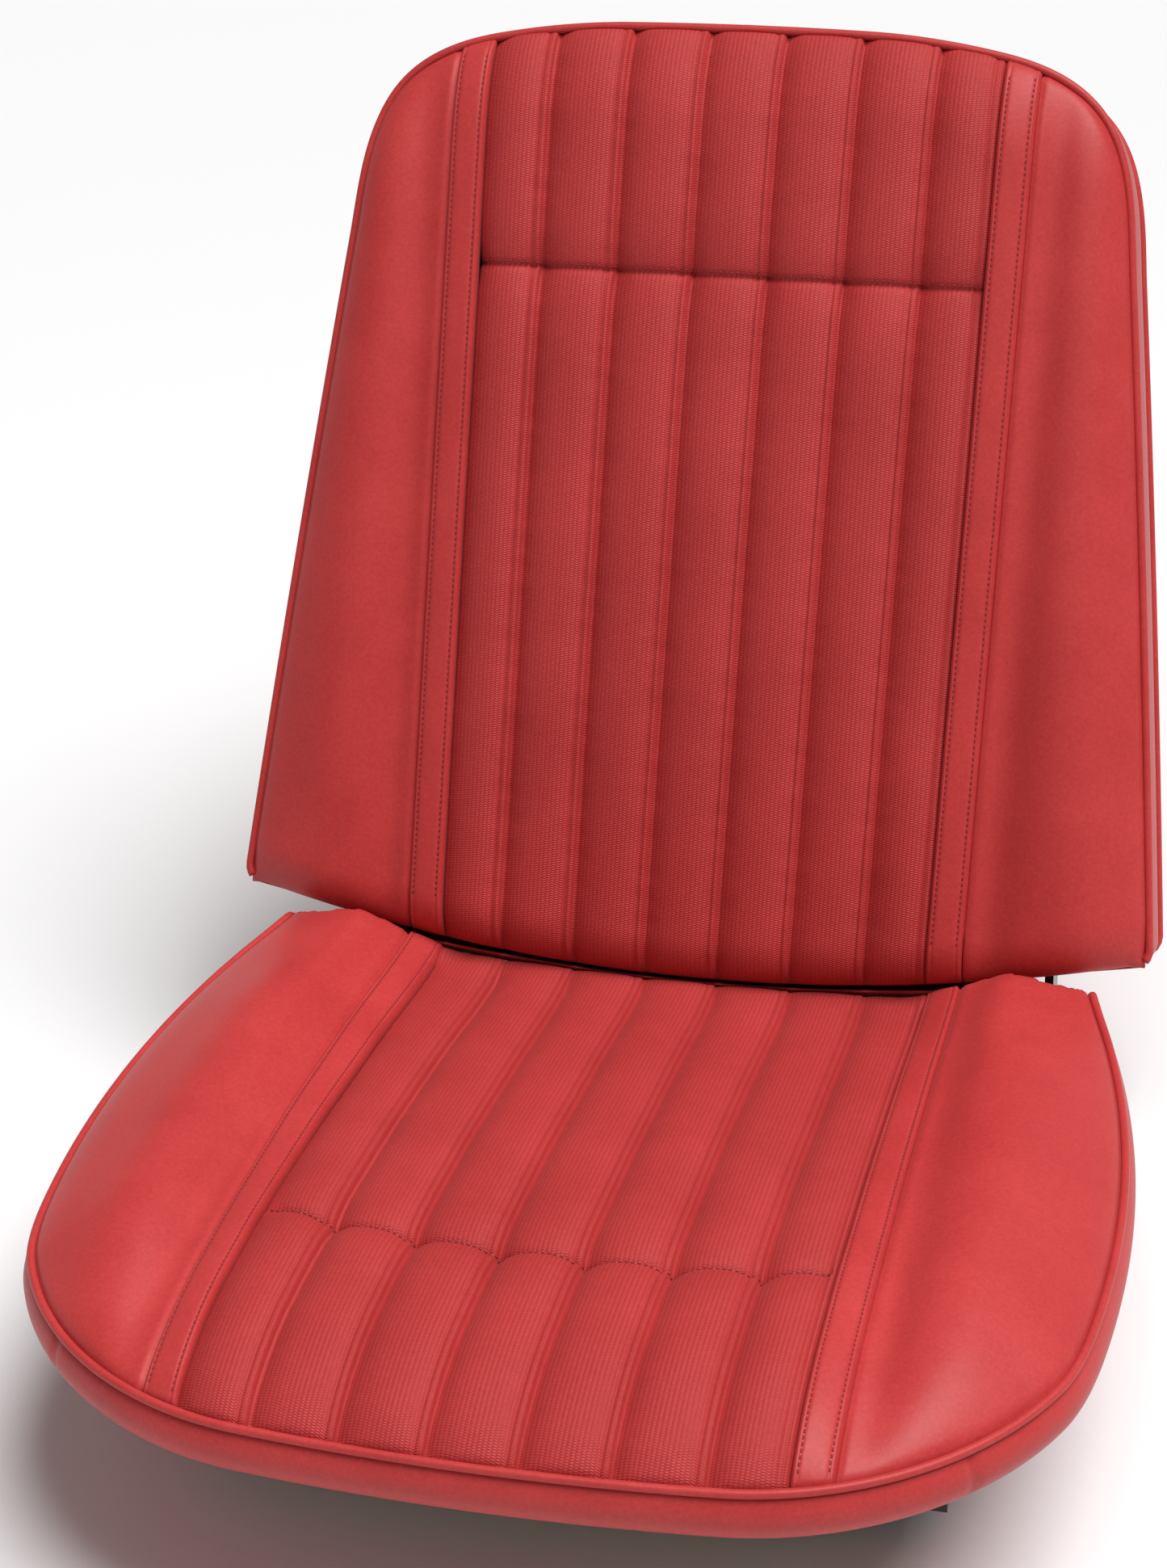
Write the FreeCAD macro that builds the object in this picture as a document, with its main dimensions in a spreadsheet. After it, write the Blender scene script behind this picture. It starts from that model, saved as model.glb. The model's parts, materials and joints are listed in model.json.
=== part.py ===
"""Front bucket seat: pleated cushion, folding backrest, sprung steel frame and sliding floor rails.

Millimetres. +X is to the viewer's right when facing the seat, +Y is towards the rear and +Z is up.
The origin is the centre of the four floor bolt holes, on the floor. The occupant faces -Y.
"""
import FreeCAD, Part
import math
import os
import Sketcher

from FreeCAD import Placement, Rotation, Vector

DIMENSIONS = {
    # cushion
    "cushion_front": -326, "cushion_rear": 168, "cushion_half": 277, "widest_at": -122,
    "welt_level": 131, "welt_slope": 0.057, "skirt_drop": 32, "foam_bottom": 62, "crown_rise": 30,
    "crown_scale": 0.86, "cover_thick": 3, "insert_half": 152, "band_outer": 171, "welt_size": 5,
    "rear_turn": 112,
    # backrest, in its own upright frame before it is leaned back
    "back_lean": 28.3, "back_base_y": 149.8, "back_base_z": 135, "back_height": 512, "bottom_sag": 31,
    "back_half_low": 266, "back_half_high": 222, "back_depth": 72, "foam_depth": 33,
    "back_crown": 22, "back_crown_scale": 0.88,
    # hinge
    "hinge_y": 182, "hinge_z": 140, "pin_r": 6, "bush_r": 8, "plate": 5, "ear_x": 200, "arm_x": 206,
    # cushion frame
    "frame_half": 206, "frame_front": -190, "foot_front": -256, "foot_half": 212, "frame_rear": 166,
    "frame_low": 29, "frame_high": 55,
    "sheet_steel": 2, "seat_flange": 60, "cross_flange": 20,
    # backrest frame
    "post_x": 200, "post_low": 46, "post_high": 456, "post_front": 39, "post_rear": 66, "post_flange": 24,
    # floor rails
    "rail_x": 165, "rail_length": 336, "rail_half": 17, "rail_height": 16, "rail_lip": 7,
    "slider_length": 226, "foot_thick": 3, "foot_x": 136, "foot_y": 146, "foot_hole_r": 4.5,
    "notch_pitch": 15, "frame_bolt_y": 100, "frame_bolt_r": 4,
    # springs
    "wire_r": 1.75, "spring_spacing": 66, "spring_swing": 24, "spring_pitch": 30,
    # release lever
    "lever_x": 209, "lever_y": -50, "lever_z": 42, "lever_thick": 4, "lever_pin_r": 4,
}
SIDES = {"left": -1, "right": 1}
SPRING_ROWS = range(-2, 3)

doc = FreeCAD.newDocument("bucket_seat")


def make_sheet():
    """The driving dimensions, one row each: name and value."""
    sheet = doc.addObject("Spreadsheet::Sheet", "Dims")
    for row, (name, value) in enumerate(DIMENSIONS.items(), start=1):
        sheet.set(f"A{row}", name)
        sheet.set(f"B{row}", str(value))
        sheet.setAlias(f"B{row}", name)
    doc.recompute()
    return sheet


SHEET = make_sheet()
SUB_PARTS = []


def dim(name):
    """A driving dimension from the sheet."""
    return float(SHEET.get(name))


def bound(text):
    """Writes a dimension expression with the sheet's name in front of each alias."""
    words = sorted(DIMENSIONS, key=len, reverse=True)
    for number, word in enumerate(words):
        text = text.replace(word, f"@{number}@")
    for number, word in enumerate(words):
        text = text.replace(f"@{number}@", f"Dims.{word}")
    return text


def value_of(text):
    """The number an expression stands for."""
    return float(SHEET.evalExpression(bound(text).replace("Dims.", "")))


def keep(item, placement=None):
    """Marks a document object as a sub-part and puts it in its place."""
    if placement is not None:
        item.Placement = placement
    SUB_PARTS.append(item)
    return item


def plain(label, shape):
    """A sub-part whose shape comes from Part's own functions."""
    item = doc.addObject("Part::Feature", label)
    item.Label = label
    item.Shape = shape
    return keep(item)


def section_xz(y_end):
    """A sketch in XY becomes a section in XZ, padded towards -Y from y_end."""
    return Placement(Vector(0, y_end, 0), Rotation(Vector(1, 0, 0), 90))


def profile_yz(x_start):
    """A sketch in XY becomes a profile in YZ, padded towards +X from x_start."""
    return Placement(Vector(x_start, 0, 0), Rotation(Vector(1, 1, 1), 120))


def leaned(local=Placement()):
    """The backrest's upright frame leaned back, times a place inside that frame."""
    base = Vector(0, dim("back_base_y"), dim("back_base_z"))
    return Placement(base, Rotation(Vector(1, 0, 0), -dim("back_lean"))).multiply(local)


def pin_point(sketch, geometry, point, x_text, y_text):
    """Holds one sketch point at expressions for its two coordinates."""
    for kind, text, axis in (("DistanceX", x_text, -2), ("DistanceY", y_text, -1)):
        value = value_of(text)
        if abs(value) < 1e-9:
            sketch.addConstraint(Sketcher.Constraint("PointOnObject", geometry, point, axis))
            continue
        index = sketch.addConstraint(Sketcher.Constraint(kind, -1, 1, geometry, point, value))
        sketch.setExpression(f"Constraints[{index}]", bound(text))


def draw_loop(sketch, corners):
    """A closed polygon whose corners are pairs of expression texts."""
    spots = [Vector(value_of(x), value_of(y), 0) for x, y in corners]
    count = len(spots)
    first = sketch.GeometryCount
    for i in range(count):
        sketch.addGeometry(Part.LineSegment(spots[i], spots[(i + 1) % count]), False)
    for i in range(count):
        sketch.addConstraint(Sketcher.Constraint("Coincident", first + i, 2, first + (i + 1) % count, 1))
    for i, (x_text, y_text) in enumerate(corners):
        pin_point(sketch, first + i, 1, x_text, y_text)


def draw_hole(sketch, x_text, y_text, radius_text):
    """A circle bound to its centre and radius expressions."""
    centre = Vector(value_of(x_text), value_of(y_text), 0)
    circle = sketch.addGeometry(Part.Circle(centre, Vector(0, 0, 1), value_of(radius_text)), False)
    pin_point(sketch, circle, 3, x_text, y_text)
    index = sketch.addConstraint(Sketcher.Constraint("Radius", circle, value_of(radius_text)))
    sketch.setExpression(f"Constraints[{index}]", bound(radius_text))


def new_body(label, corners, holes=()):
    """A PartDesign body with one sketch on its own XY plane."""
    body = doc.addObject("PartDesign::Body", label)
    body.Label = label
    sketch = body.newObject("Sketcher::SketchObject", label + "_sketch")
    plane = next(f for f in body.Origin.OriginFeatures if f.Role == "XY_Plane")
    sketch.AttachmentSupport = [(plane, "")]
    sketch.MapMode = "FlatFace"
    draw_loop(sketch, corners)
    for hole in holes:
        draw_hole(sketch, *hole)
    return body, sketch


def pad_body(label, corners, length, placement, holes=()):
    """One closed profile with round holes, padded to a length."""
    body, sketch = new_body(label, corners, holes)
    pad = body.newObject("PartDesign::Pad", label + "_pad")
    pad.Profile = sketch
    pad.setExpression("Length", bound(length))
    body.Tip = pad
    body.Placement = placement
    return body


def slab(x0, x1, y0, y1, z0, z1):
    return Part.makeBox(x1 - x0, y1 - y0, z1 - z0, Vector(x0, y0, z0))


def rod(radius, start, end):
    """A round bar between two points."""
    run = end.sub(start)
    return Part.makeCylinder(radius, run.Length, start, run)


def less(label, base, tools):
    """A body with drillings or notches taken out by a Part cut."""
    tool = doc.addObject("Part::Feature", label + "_tool")
    tool.Shape = Part.makeCompound(tools)
    cut = doc.addObject("Part::Cut", label)
    cut.Base = base
    cut.Tool = tool
    base.Label = label + "_blank"
    cut.Label = label
    return keep(cut)


# ---------------------------------------------------------------- outlines

def arc(a, b, c):
    return Part.Arc(Vector(*a, 0), Vector(*b, 0), Vector(*c, 0)).toShape()


def line(a, b):
    return Part.LineSegment(Vector(*a, 0), Vector(*b, 0)).toShape()


def mirrored_wire(half):
    """Closes a right-hand half outline with its mirror image."""
    edges = half + [edge.mirror(Vector(0, 0, 0), Vector(1, 0, 0)) for edge in half]
    return Part.Wire(Part.__sortEdges__(edges))


def inset_wire(wire, inset):
    return wire.makeOffset2D(-inset) if inset else wire


def cushion_outline(inset=0.0):
    """Plan at the welt: bowed front, wide round front corners, sides that draw in to the rear."""
    front, rear = dim("cushion_front"), dim("cushion_rear")
    half, widest = dim("cushion_half"), dim("widest_at")
    bow, corner, side = (130, front + 7), (half - 7, widest - 76), (half - 41, rear - 33)
    return inset_wire(mirrored_wire([
        arc((0, front), (bow[0] / 2, front + 1.8), bow),
        arc(bow, (half - 52, front + 56), corner),
        arc(corner, (half, widest), side),
        arc(side, (side[0] - 9.5, rear - 9), (side[0] - 34, rear)),
        line((side[0] - 34, rear), (0, rear)),
    ]), inset)


def cushion_base(inset):
    """Plan of the foam where it sits on the frame, with as many edges as the outline above it."""
    half, front, rear = dim("foot_half") - inset, dim("foot_front") + inset, dim("cushion_rear") - inset
    return mirrored_wire([
        arc((0, front), (50, front + 1), (half - 110, front + 5)),
        arc((half - 110, front + 5), (half - 34, front + 36), (half, front + 110)),
        arc((half, front + 110), (half + 1, -30), (half, rear - 20)),
        arc((half, rear - 20), (half - 6, rear - 6), (half - 20, rear)),
        line((half - 20, rear), (0, rear)),
    ])


def backrest_outline(inset=0.0):
    """Front view: sagging bottom edge, sides that taper upwards, sloped shoulders."""
    low, high, top, sag = (dim(n) for n in ("back_half_low", "back_half_high", "back_height", "bottom_sag"))
    corner = low - 10
    bow = (corner ** 2 + sag ** 2) / (2 * sag)
    return inset_wire(mirrored_wire([
        arc((0, -sag), (corner / 2, -sag + corner ** 2 / (8 * bow)), (corner, 0)),
        arc((corner, 0), (low - 2, 4), (low, 12)),
        arc((low, 12), ((low + high) / 2 + 2, 210), (high, top - 92)),
        arc((high, top - 92), (high - 14, top - 42), (high - 42, top - 16.5)),
        line((high - 42, top - 16.5), (105, top - 2)),
        arc((105, top - 2), (52, top - 0.5), (0, top)),
    ]), inset)


def prism(wire, low, high):
    face = Part.Face(wire)
    face.translate(Vector(0, 0, low))
    return face.extrude(Vector(0, 0, high - low))


def ring(outline, low, high, out, back):
    """A cord's square stand-in: a band from `out` outside an outline to `back` inside it."""
    return prism(outline(-out), low, high).cut(prism(outline(back), low, high))


# ---------------------------------------------------------------- cushion upholstery

# Height of the cover above the welt plane along the seat, at the middle and on the bolsters.
MIDDLE = [(-326, 4), (-300, 17), (-250, 25), (-182, 26), (-80, 16), (20, 1), (90, -13), (130, -23),
          (140, -32), (152, -40), (160, -43), (170, -45)]
BOLSTER = [(-326, 4), (-300, 14), (-250, 22), (-182, 27), (-80, 28), (20, 22), (90, 12),
           (118, 2), (136, -14), (152, -28), (170, -40)]


def welt_tilt(rise):
    """Place of the plane parallel to the welt, at a height above it."""
    return Placement(
        Vector(0, 0, dim("welt_level") + rise),
        Rotation(Vector(1, 0, 0), -math.degrees(math.atan(dim("welt_slope")))),
    )


def above_profile(heights, drop, x0, x1):
    """Everything over one of the long profiles, between two distances from the middle."""
    spots = [(y, dim("welt_level") - dim("welt_slope") * y + height - drop) for y, height in heights]
    spots = [(-400, spots[0][1])] + spots + [(260, spots[-1][1]), (260, 300), (-400, 300)]
    corners = [Vector(x0, y, z) for y, z in spots]
    return Part.Face(Part.makePolygon(corners + corners[:1])).extrude(Vector(x1 - x0, 0, 0))


def cushion_block(inset):
    """The cushion's closed form: tucked-under foot, upright skirt, crown that slopes in, dished top."""
    outline = cushion_outline(inset)
    middle = Vector(0, (dim("cushion_front") + dim("cushion_rear")) / 2, 0)
    foot = cushion_base(inset)
    foot.translate(Vector(0, 0, dim("foam_bottom")))
    hem, shoulder, crown = outline.copy(), outline.copy(), outline.copy()
    crown.scale(dim("crown_scale"), middle)
    hem.Placement = welt_tilt(-dim("skirt_drop"))
    shoulder.Placement = welt_tilt(0)
    crown.Placement = welt_tilt(dim("crown_rise")).multiply(crown.Placement)
    block = Part.makeLoft([foot, hem], True, True)
    block = block.fuse(Part.makeLoft([hem, shoulder], True, True))
    block = block.fuse(Part.makeLoft([shoulder, crown], True, True))
    half, band = dim("insert_half"), dim("band_outer")
    block = block.cut(above_profile(MIDDLE, inset, -half, half))
    for x0, x1 in ((-band, -half), (half, band)):
        block = block.cut(above_profile(MIDDLE, inset - 2, x0, x1))
    for x0, x1 in ((-400, -band), (band, 400)):
        block = block.cut(above_profile(BOLSTER, inset, x0, x1))
    return block


def skirt_block(inset):
    """The cushion below its welt: the tucked-under foot and the upright band."""
    foot, hem = cushion_base(inset), cushion_outline(inset)
    foot.translate(Vector(0, 0, dim("foam_bottom")))
    hem.Placement = welt_tilt(-dim("skirt_drop"))
    rise = dim("skirt_drop") - dim("welt_size") / 2 - 0.3
    return Part.makeLoft([foot, hem], True, True).fuse(Part.Face(hem).extrude(Vector(0, 0, rise)))


def cushion_upholstery():
    """Foam block, cover panels side by side, boxing skirt and the welt between them."""
    thick, size = dim("cover_thick"), dim("welt_size")
    outer, foam = cushion_block(0), cushion_block(thick)
    welt = ring(cushion_outline, -size / 2, size / 2, 2.5, thick)
    welt.Placement = welt_tilt(0)
    welt = welt.common(slab(-400, 400, -400, dim("rear_turn"), 0, 300))
    shell = outer.cut(foam)
    above = slab(-400, 400, -400, 400, 0, 200)
    above.Placement = welt_tilt(size / 2)
    hem = cushion_outline(thick)
    hem.Placement = welt_tilt(-dim("skirt_drop"))
    dish = Part.Face(hem).extrude(Vector(0, 0, 100))
    turn = dim("rear_turn")
    above = above.fuse([dish.common(slab(-400, 400, -60, 200, 0, 300)), slab(-400, 400, turn, 400, 0, 300)])
    half, band = dim("insert_half"), dim("band_outer")
    plain("cushion_foam", foam)
    top = shell.common(above)
    plain("cushion_insert_cover", top.common(slab(-half, half, -400, 300, 0, 300)))
    for side, sign in SIDES.items():
        near, far = sorted((sign * half, sign * band))
        plain(f"cushion_band_{side}", top.common(slab(near, far, -400, 300, 0, 300)))
        near, far = sorted((sign * band, sign * 400))
        plain(f"cushion_bolster_{side}", top.common(slab(near, far, -400, 300, 0, 300)))
    skirt = skirt_block(0).cut(skirt_block(thick)).cut(slab(-400, 400, turn, 400, 0, 300))
    plain("cushion_skirt", skirt)
    plain("cushion_welt", welt)


# ---------------------------------------------------------------- backrest upholstery

def backrest_block(inset):
    """Drawn in plan with depth along -Z: upright sides, then a crown that slopes in at the front."""
    outline = backrest_outline(inset)
    shoulder, crown = outline.copy(), outline.copy()
    crown.scale(dim("back_crown_scale"), Vector(0, dim("back_height") / 2, 0))
    crown.translate(Vector(0, 0, dim("back_crown") - inset))
    return prism(outline, -dim("back_depth"), 0).fuse(Part.makeLoft([shoulder, crown], True, True))


def hinge_pocket():
    """Room in the lower rear corners of the backrest for the hinge arms, in the same drawing."""
    axis = hinge_in_backrest()
    boxes = []
    for sign in SIDES.values():
        x0, x1 = sorted((sign * (dim("ear_x") - 14), sign * (dim("arm_x") + 16)))
        boxes.append(slab(x0, x1, -60, axis.z + 22, -90, -axis.y + 20))
    return Part.makeCompound(boxes)


def hinge_in_backrest():
    """The hinge axis in the backrest's upright frame."""
    return leaned().inverse().multVec(Vector(0, dim("hinge_y"), dim("hinge_z")))


def backrest_upholstery():
    """Foam, cover panels, boxing between two welts, and the rear panel, all leaned back together."""
    thick, size, depth = dim("cover_thick"), dim("welt_size"), dim("back_depth")
    pocket = hinge_pocket()
    outer, inner = backrest_block(0), backrest_block(thick)
    front_welt = ring(backrest_outline, -size / 2, size / 2, 2, thick)
    rear_welt = ring(backrest_outline, -depth, -depth + size, 2, thick)
    top = outer.cut(inner).common(slab(-400, 400, -100, 600, size / 2, 60))
    low, high = size - depth, -size / 2
    boxing = prism(backrest_outline(), low, high).cut(prism(backrest_outline(thick), low, high))
    half, band = dim("insert_half"), dim("band_outer")
    pieces = {
        "backrest_foam": inner.common(slab(-400, 400, -100, 600, -dim("foam_depth"), 60)),
        "backrest_insert_cover": top.common(slab(-half, half, -100, 600, 0, 60)),
        "backrest_boxing": boxing,
        "backrest_front_welt": front_welt,
        "backrest_rear_welt": rear_welt,
        "backrest_rear_panel": prism(backrest_outline(thick), -depth, -depth + 4),
        "backrest_insulator": prism(backrest_outline(34), -dim("foam_depth") - 2.5, -dim("foam_depth")),
    }
    for side, sign in SIDES.items():
        near, far = sorted((sign * half, sign * band))
        pieces[f"backrest_band_{side}"] = top.common(slab(near, far, -100, 600, 0, 60))
        near, far = sorted((sign * band, sign * 400))
        pieces[f"backrest_bolster_{side}"] = top.common(slab(near, far, -100, 600, 0, 60))
    upright = Placement(Vector(0, 0, 0), Rotation(Vector(1, 0, 0), 90))
    for label, shape in pieces.items():
        plain(label, shape.cut(pocket)).Placement = leaned(upright)


# ---------------------------------------------------------------- floor rails

def floor_rails():
    """Two lipped channels on four bolted feet, with latch notches in the right rail's outer wall."""
    half, wall = "rail_half", "sheet_steel"
    base, top = "foot_thick", "foot_thick + rail_height"
    for side, sign in SIDES.items():
        section = [
            (f"-{half}", base), (half, base), (half, top), (f"{half} - rail_lip", top),
            (f"{half} - rail_lip", f"{top} - {wall}"), (f"{half} - {wall}", f"{top} - {wall}"),
            (f"{half} - {wall}", f"{base} + {wall}"), (f"{wall} - {half}", f"{base} + {wall}"),
            (f"{wall} - {half}", f"{top} - {wall}"), (f"rail_lip - {half}", f"{top} - {wall}"),
            (f"rail_lip - {half}", top), (f"-{half}", top),
        ]
        place = section_xz(dim("rail_length") / 2)
        place.Base.x = sign * dim("rail_x")
        label = f"lower_rail_{side}"
        body = pad_body(label, section, "rail_length", place)
        if side == "left":
            keep(body)
            continue
        outer = dim("rail_x") + dim("rail_half")
        pitch = dim("notch_pitch")
        notches = [slab(outer - 3, outer + 1, -19 + i * pitch, -11 + i * pitch, 8, 15) for i in range(-3,
            4)]
        less(label, body, notches)
    for end, back in (("front", -1), ("rear", 1)):
        for side, sign in SIDES.items():
            edge = "rail_x + rail_half"
            corners = [(f"{sign} * (foot_x - 16)", f"{back} * foot_y - 18"),
                (f"{sign} * ({edge})", f"{back} * foot_y - 18"),
                       (f"{sign} * ({edge})", f"{back} * foot_y + 18"),
                       (f"{sign} * (foot_x - 16)", f"{back} * foot_y + 18")]
            hole = (f"{sign} * foot_x", f"{back} * foot_y", "foot_hole_r")
            keep(pad_body(f"rail_foot_{end}_{side}", corners, "foot_thick", Placement(), [hole]))
    stops = []
    low = dim("foot_thick") + dim("sheet_steel")
    for sign in SIDES.values():
        x = sign * dim("rail_x")
        for y in (-dim("rail_length") / 2, dim("rail_length") / 2 - 3):
            stops.append(slab(x - 13, x + 13, y, y + 3, low, low + 11))
    plain("rail_end_stops", Part.makeCompound(stops))


# ---------------------------------------------------------------- sliding seat frame

def sliders():
    """A flanged bar in each rail on nylon shoes, tapped for the seat frame's bolts."""
    shoes = []
    for side, sign in SIDES.items():
        section = [("-12", "7"), ("12", "7"), ("12", "9"), ("6", "9"), ("6", "26"), ("12", "26"),
            ("12", "frame_low"),
                   ("-12", "frame_low"), ("-12", "26"), ("-6", "26"), ("-6", "9"), ("-12", "9")]
        place = section_xz(dim("slider_length") / 2)
        place.Base.x = sign * dim("rail_x")
        body = pad_body(f"slider_{side}", section, "slider_length", place)
        holes = [rod(dim("frame_bolt_r"), Vector(sign * dim("rail_x"), y, 18),
            Vector(sign * dim("rail_x"), y, 40))
                 for y in (-dim("frame_bolt_y"), dim("frame_bolt_y"))]
        less(f"slider_{side}", body, holes)
        for y in (-110, 70):
            x = sign * dim("rail_x")
            shoe = slab(x - 14.7, x + 14.7, y, y + 40, 5.3, 16.7)
            shoe = shoe.cut(slab(x - 12, x + 12, y, y + 40, 7, 9)).cut(slab(x - 6, x + 6, y, y + 40, 9, 20))
            shoes.append(shoe)
    plain("slide_shoes", Part.makeCompound(shoes))


def seat_frame():
    """Pressed side members over the rails, joined by two cross members and bolted to the sliders."""
    bolts = []
    for side, sign in SIDES.items():
        half, low, high, wall = "frame_half", "frame_low", "frame_high", "sheet_steel"
        section = [(f"{sign} * ({half} - seat_flange)", low), (f"{sign} * {half}", low),
            (f"{sign} * {half}", high),
                   (f"{sign} * ({half} - {wall})", high),
                   (f"{sign} * ({half} - {wall})", f"{low} + {wall}"),
                   (f"{sign} * ({half} - seat_flange)", f"{low} + {wall}")]
        body = pad_body(f"frame_side_{side}", section, "frame_rear - frame_front",
            section_xz(dim("frame_rear")))
        spots = [Vector(sign * dim("rail_x"), y, 20) for y in (-dim("frame_bolt_y"), dim("frame_bolt_y"))]
        less(f"frame_side_{side}", body, [rod(dim("frame_bolt_r"), p, p + Vector(0, 0, 20)) for p in spots])
        for p in spots:
            shank = rod(dim("frame_bolt_r"), p, p + Vector(0, 0, 11))
            head = Part.Face(Part.makePolygon([
                Vector(p.x + 7 * math.cos(k * math.pi / 3), p.y + 7 * math.sin(k * math.pi / 3),
                    31) for k in range(7)
            ])).extrude(Vector(0, 0, 5))
            bolts.append(shank.fuse(head).removeSplitter())
    plain("frame_bolts", Part.makeCompound(bolts))
    for end, edge, way in (("front", "frame_front", 1), ("rear", "frame_rear", -1)):
        low, high, wall = "frame_low + sheet_steel", "frame_high", "sheet_steel"
        section = [(edge, low), (f"{edge} + {way} * {wall}", low),
            (f"{edge} + {way} * {wall}", f"{high} - {wall}"),
                   (f"{edge} + {way} * cross_flange", f"{high} - {wall}"),
                   (f"{edge} + {way} * cross_flange", high),
                   (edge, high)]
        keep(pad_body(f"frame_cross_{end}", section, "2 * (frame_half - sheet_steel)",
                      profile_yz(dim("sheet_steel") - dim("frame_half"))))


def hinge_arms():
    """Upright plates behind the cushion that carry the backrest, their bushes and its rubber stops."""
    bushes, stops = [], []
    low, y, z = "frame_low + 2", "hinge_y", "hinge_z"
    corners = [("96", low), ("172", low), (f"{y} + 12", "58"), (f"{y} + 12", f"{z} + 5"),
        (f"{y} + 6", f"{z} + 12"),
               (f"{y} - 6", f"{z} + 12"), (f"{y} - 12", f"{z} + 5"), (f"{y} - 12", f"{z} - 6"),
               (f"{y} - 8", f"{z} - 26"), (f"{y} - 10", "66"), ("150", "frame_high"),
               ("96", "frame_high")]
    for side, sign in SIDES.items():
        start = dim("arm_x") if sign > 0 else -dim("arm_x") - dim("plate")
        keep(pad_body(f"hinge_arm_{side}", corners, "plate", profile_yz(start), [(y, z, "bush_r")]))
        ends = [Vector(start, dim(y), dim(z)), Vector(start + dim("plate"), dim(y), dim(z))]
        bushes.append(rod(dim("bush_r"), *ends).cut(rod(dim("pin_r") + 0.04, *ends)))
    plain("hinge_bushes", Part.makeCompound(bushes))


def spring(x, y0, y1, z):
    """A flat zigzag wire: straight cross runs joined by half-circle ends, with straight tails."""
    swing, pitch, wire = dim("spring_swing"), dim("spring_pitch"), dim("wire_r")
    turn = pitch / 4
    runs = int((y1 - y0 - 24) / (2 * turn))
    start = (y0 + y1) / 2 - runs * turn
    edges = [Part.LineSegment(Vector(x, y0, z), Vector(x, start, z)).toShape()]
    near, y, sign = x, start, 1
    reach = swing - turn
    edges.append(Part.LineSegment(Vector(x, y, z), Vector(x + reach, y, z)).toShape())
    for k in range(runs):
        end = x + sign * reach
        a, b = Vector(end, y, z), Vector(end, y + 2 * turn, z)
        edges.append(Part.Arc(a, Vector(end + sign * turn, y + turn, z), b).toShape())
        y += 2 * turn
        sign = -sign
        far = x + sign * reach if k < runs - 1 else x
        edges.append(Part.LineSegment(b, Vector(far, y, z)).toShape())
    edges.append(Part.LineSegment(Vector(x, y, z), Vector(x, y1, z)).toShape())
    path = Part.Wire(edges)
    section = Part.Wire([Part.Circle(Vector(x, y0, z), Vector(0, 1, 0), wire).toShape()])
    return path.makePipeShell([section], True, False, 2)


def cushion_springs():
    """Five zigzag springs from the front cross member to the rear one, their clips and a felt pad."""
    z = dim("frame_high") + dim("wire_r")
    y0, y1 = dim("frame_front") + 8, dim("frame_rear") - 8
    wires, clips = [], []
    for row in SPRING_ROWS:
        x = row * dim("spring_spacing")
        wires.append(spring(x, y0, y1, z))
        for y in (y0 - 6, y1):
            clips.append(slab(x - 6, x + 6, y, y + 6, dim("frame_high"), dim("frame_high") + 4.5))
    plain("cushion_springs", Part.makeCompound(wires))
    plain("cushion_spring_clips", Part.makeCompound(clips))
    top = dim("frame_high") + 2 * dim("wire_r")
    plain("cushion_insulator", slab(-170, 170, y0 + 6, y1 - 6, top, dim("foam_bottom")))


def border_wire():
    """A round wire bent out from the side members to carry the overhanging front of the foam."""
    reach, z = dim("frame_half") - 12, dim("frame_high") + 3.2
    corner, front = reach - 84, dim("foot_front") + 10
    edges = [
        Part.LineSegment(Vector(-reach, dim("frame_front") + 60, z), Vector(-reach, front + 84, z)),
        Part.Arc(Vector(-reach, front + 84, z), Vector(-reach + 84 * 0.293, front + 84 * 0.293, z),
            Vector(-corner, front, z)),
        Part.LineSegment(Vector(-corner, front, z), Vector(corner, front, z)),
        Part.Arc(Vector(corner, front, z), Vector(reach - 84 * 0.293, front + 84 * 0.293, z),
            Vector(reach, front + 84, z)),
        Part.LineSegment(Vector(reach, front + 84, z), Vector(reach, dim("frame_front") + 60, z)),
    ]
    path = Part.Wire([edge.toShape() for edge in edges])
    section = Part.Wire([Part.Circle(path.OrderedVertexes[0].Point, Vector(0, 1, 0), 3.2).toShape()])
    plain("border_wire", path.makePipeShell([section], True, True))


def cover_clips():
    """C clips that hold the cover's hem on the side members' top edges."""
    clips = []
    for sign in SIDES.values():
        x = sign * (dim("frame_half") - 1)
        for y in (-145, -80, 10, 50):
            clip = slab(x - 3, x + 3, y, y + 14, 47, 58)
            clips.append(clip.cut(slab(x - 1, x + 1, y, y + 14, 40, dim("frame_high"))))
    plain("cover_clips", Part.makeCompound(clips))


# ---------------------------------------------------------------- release lever

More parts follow.
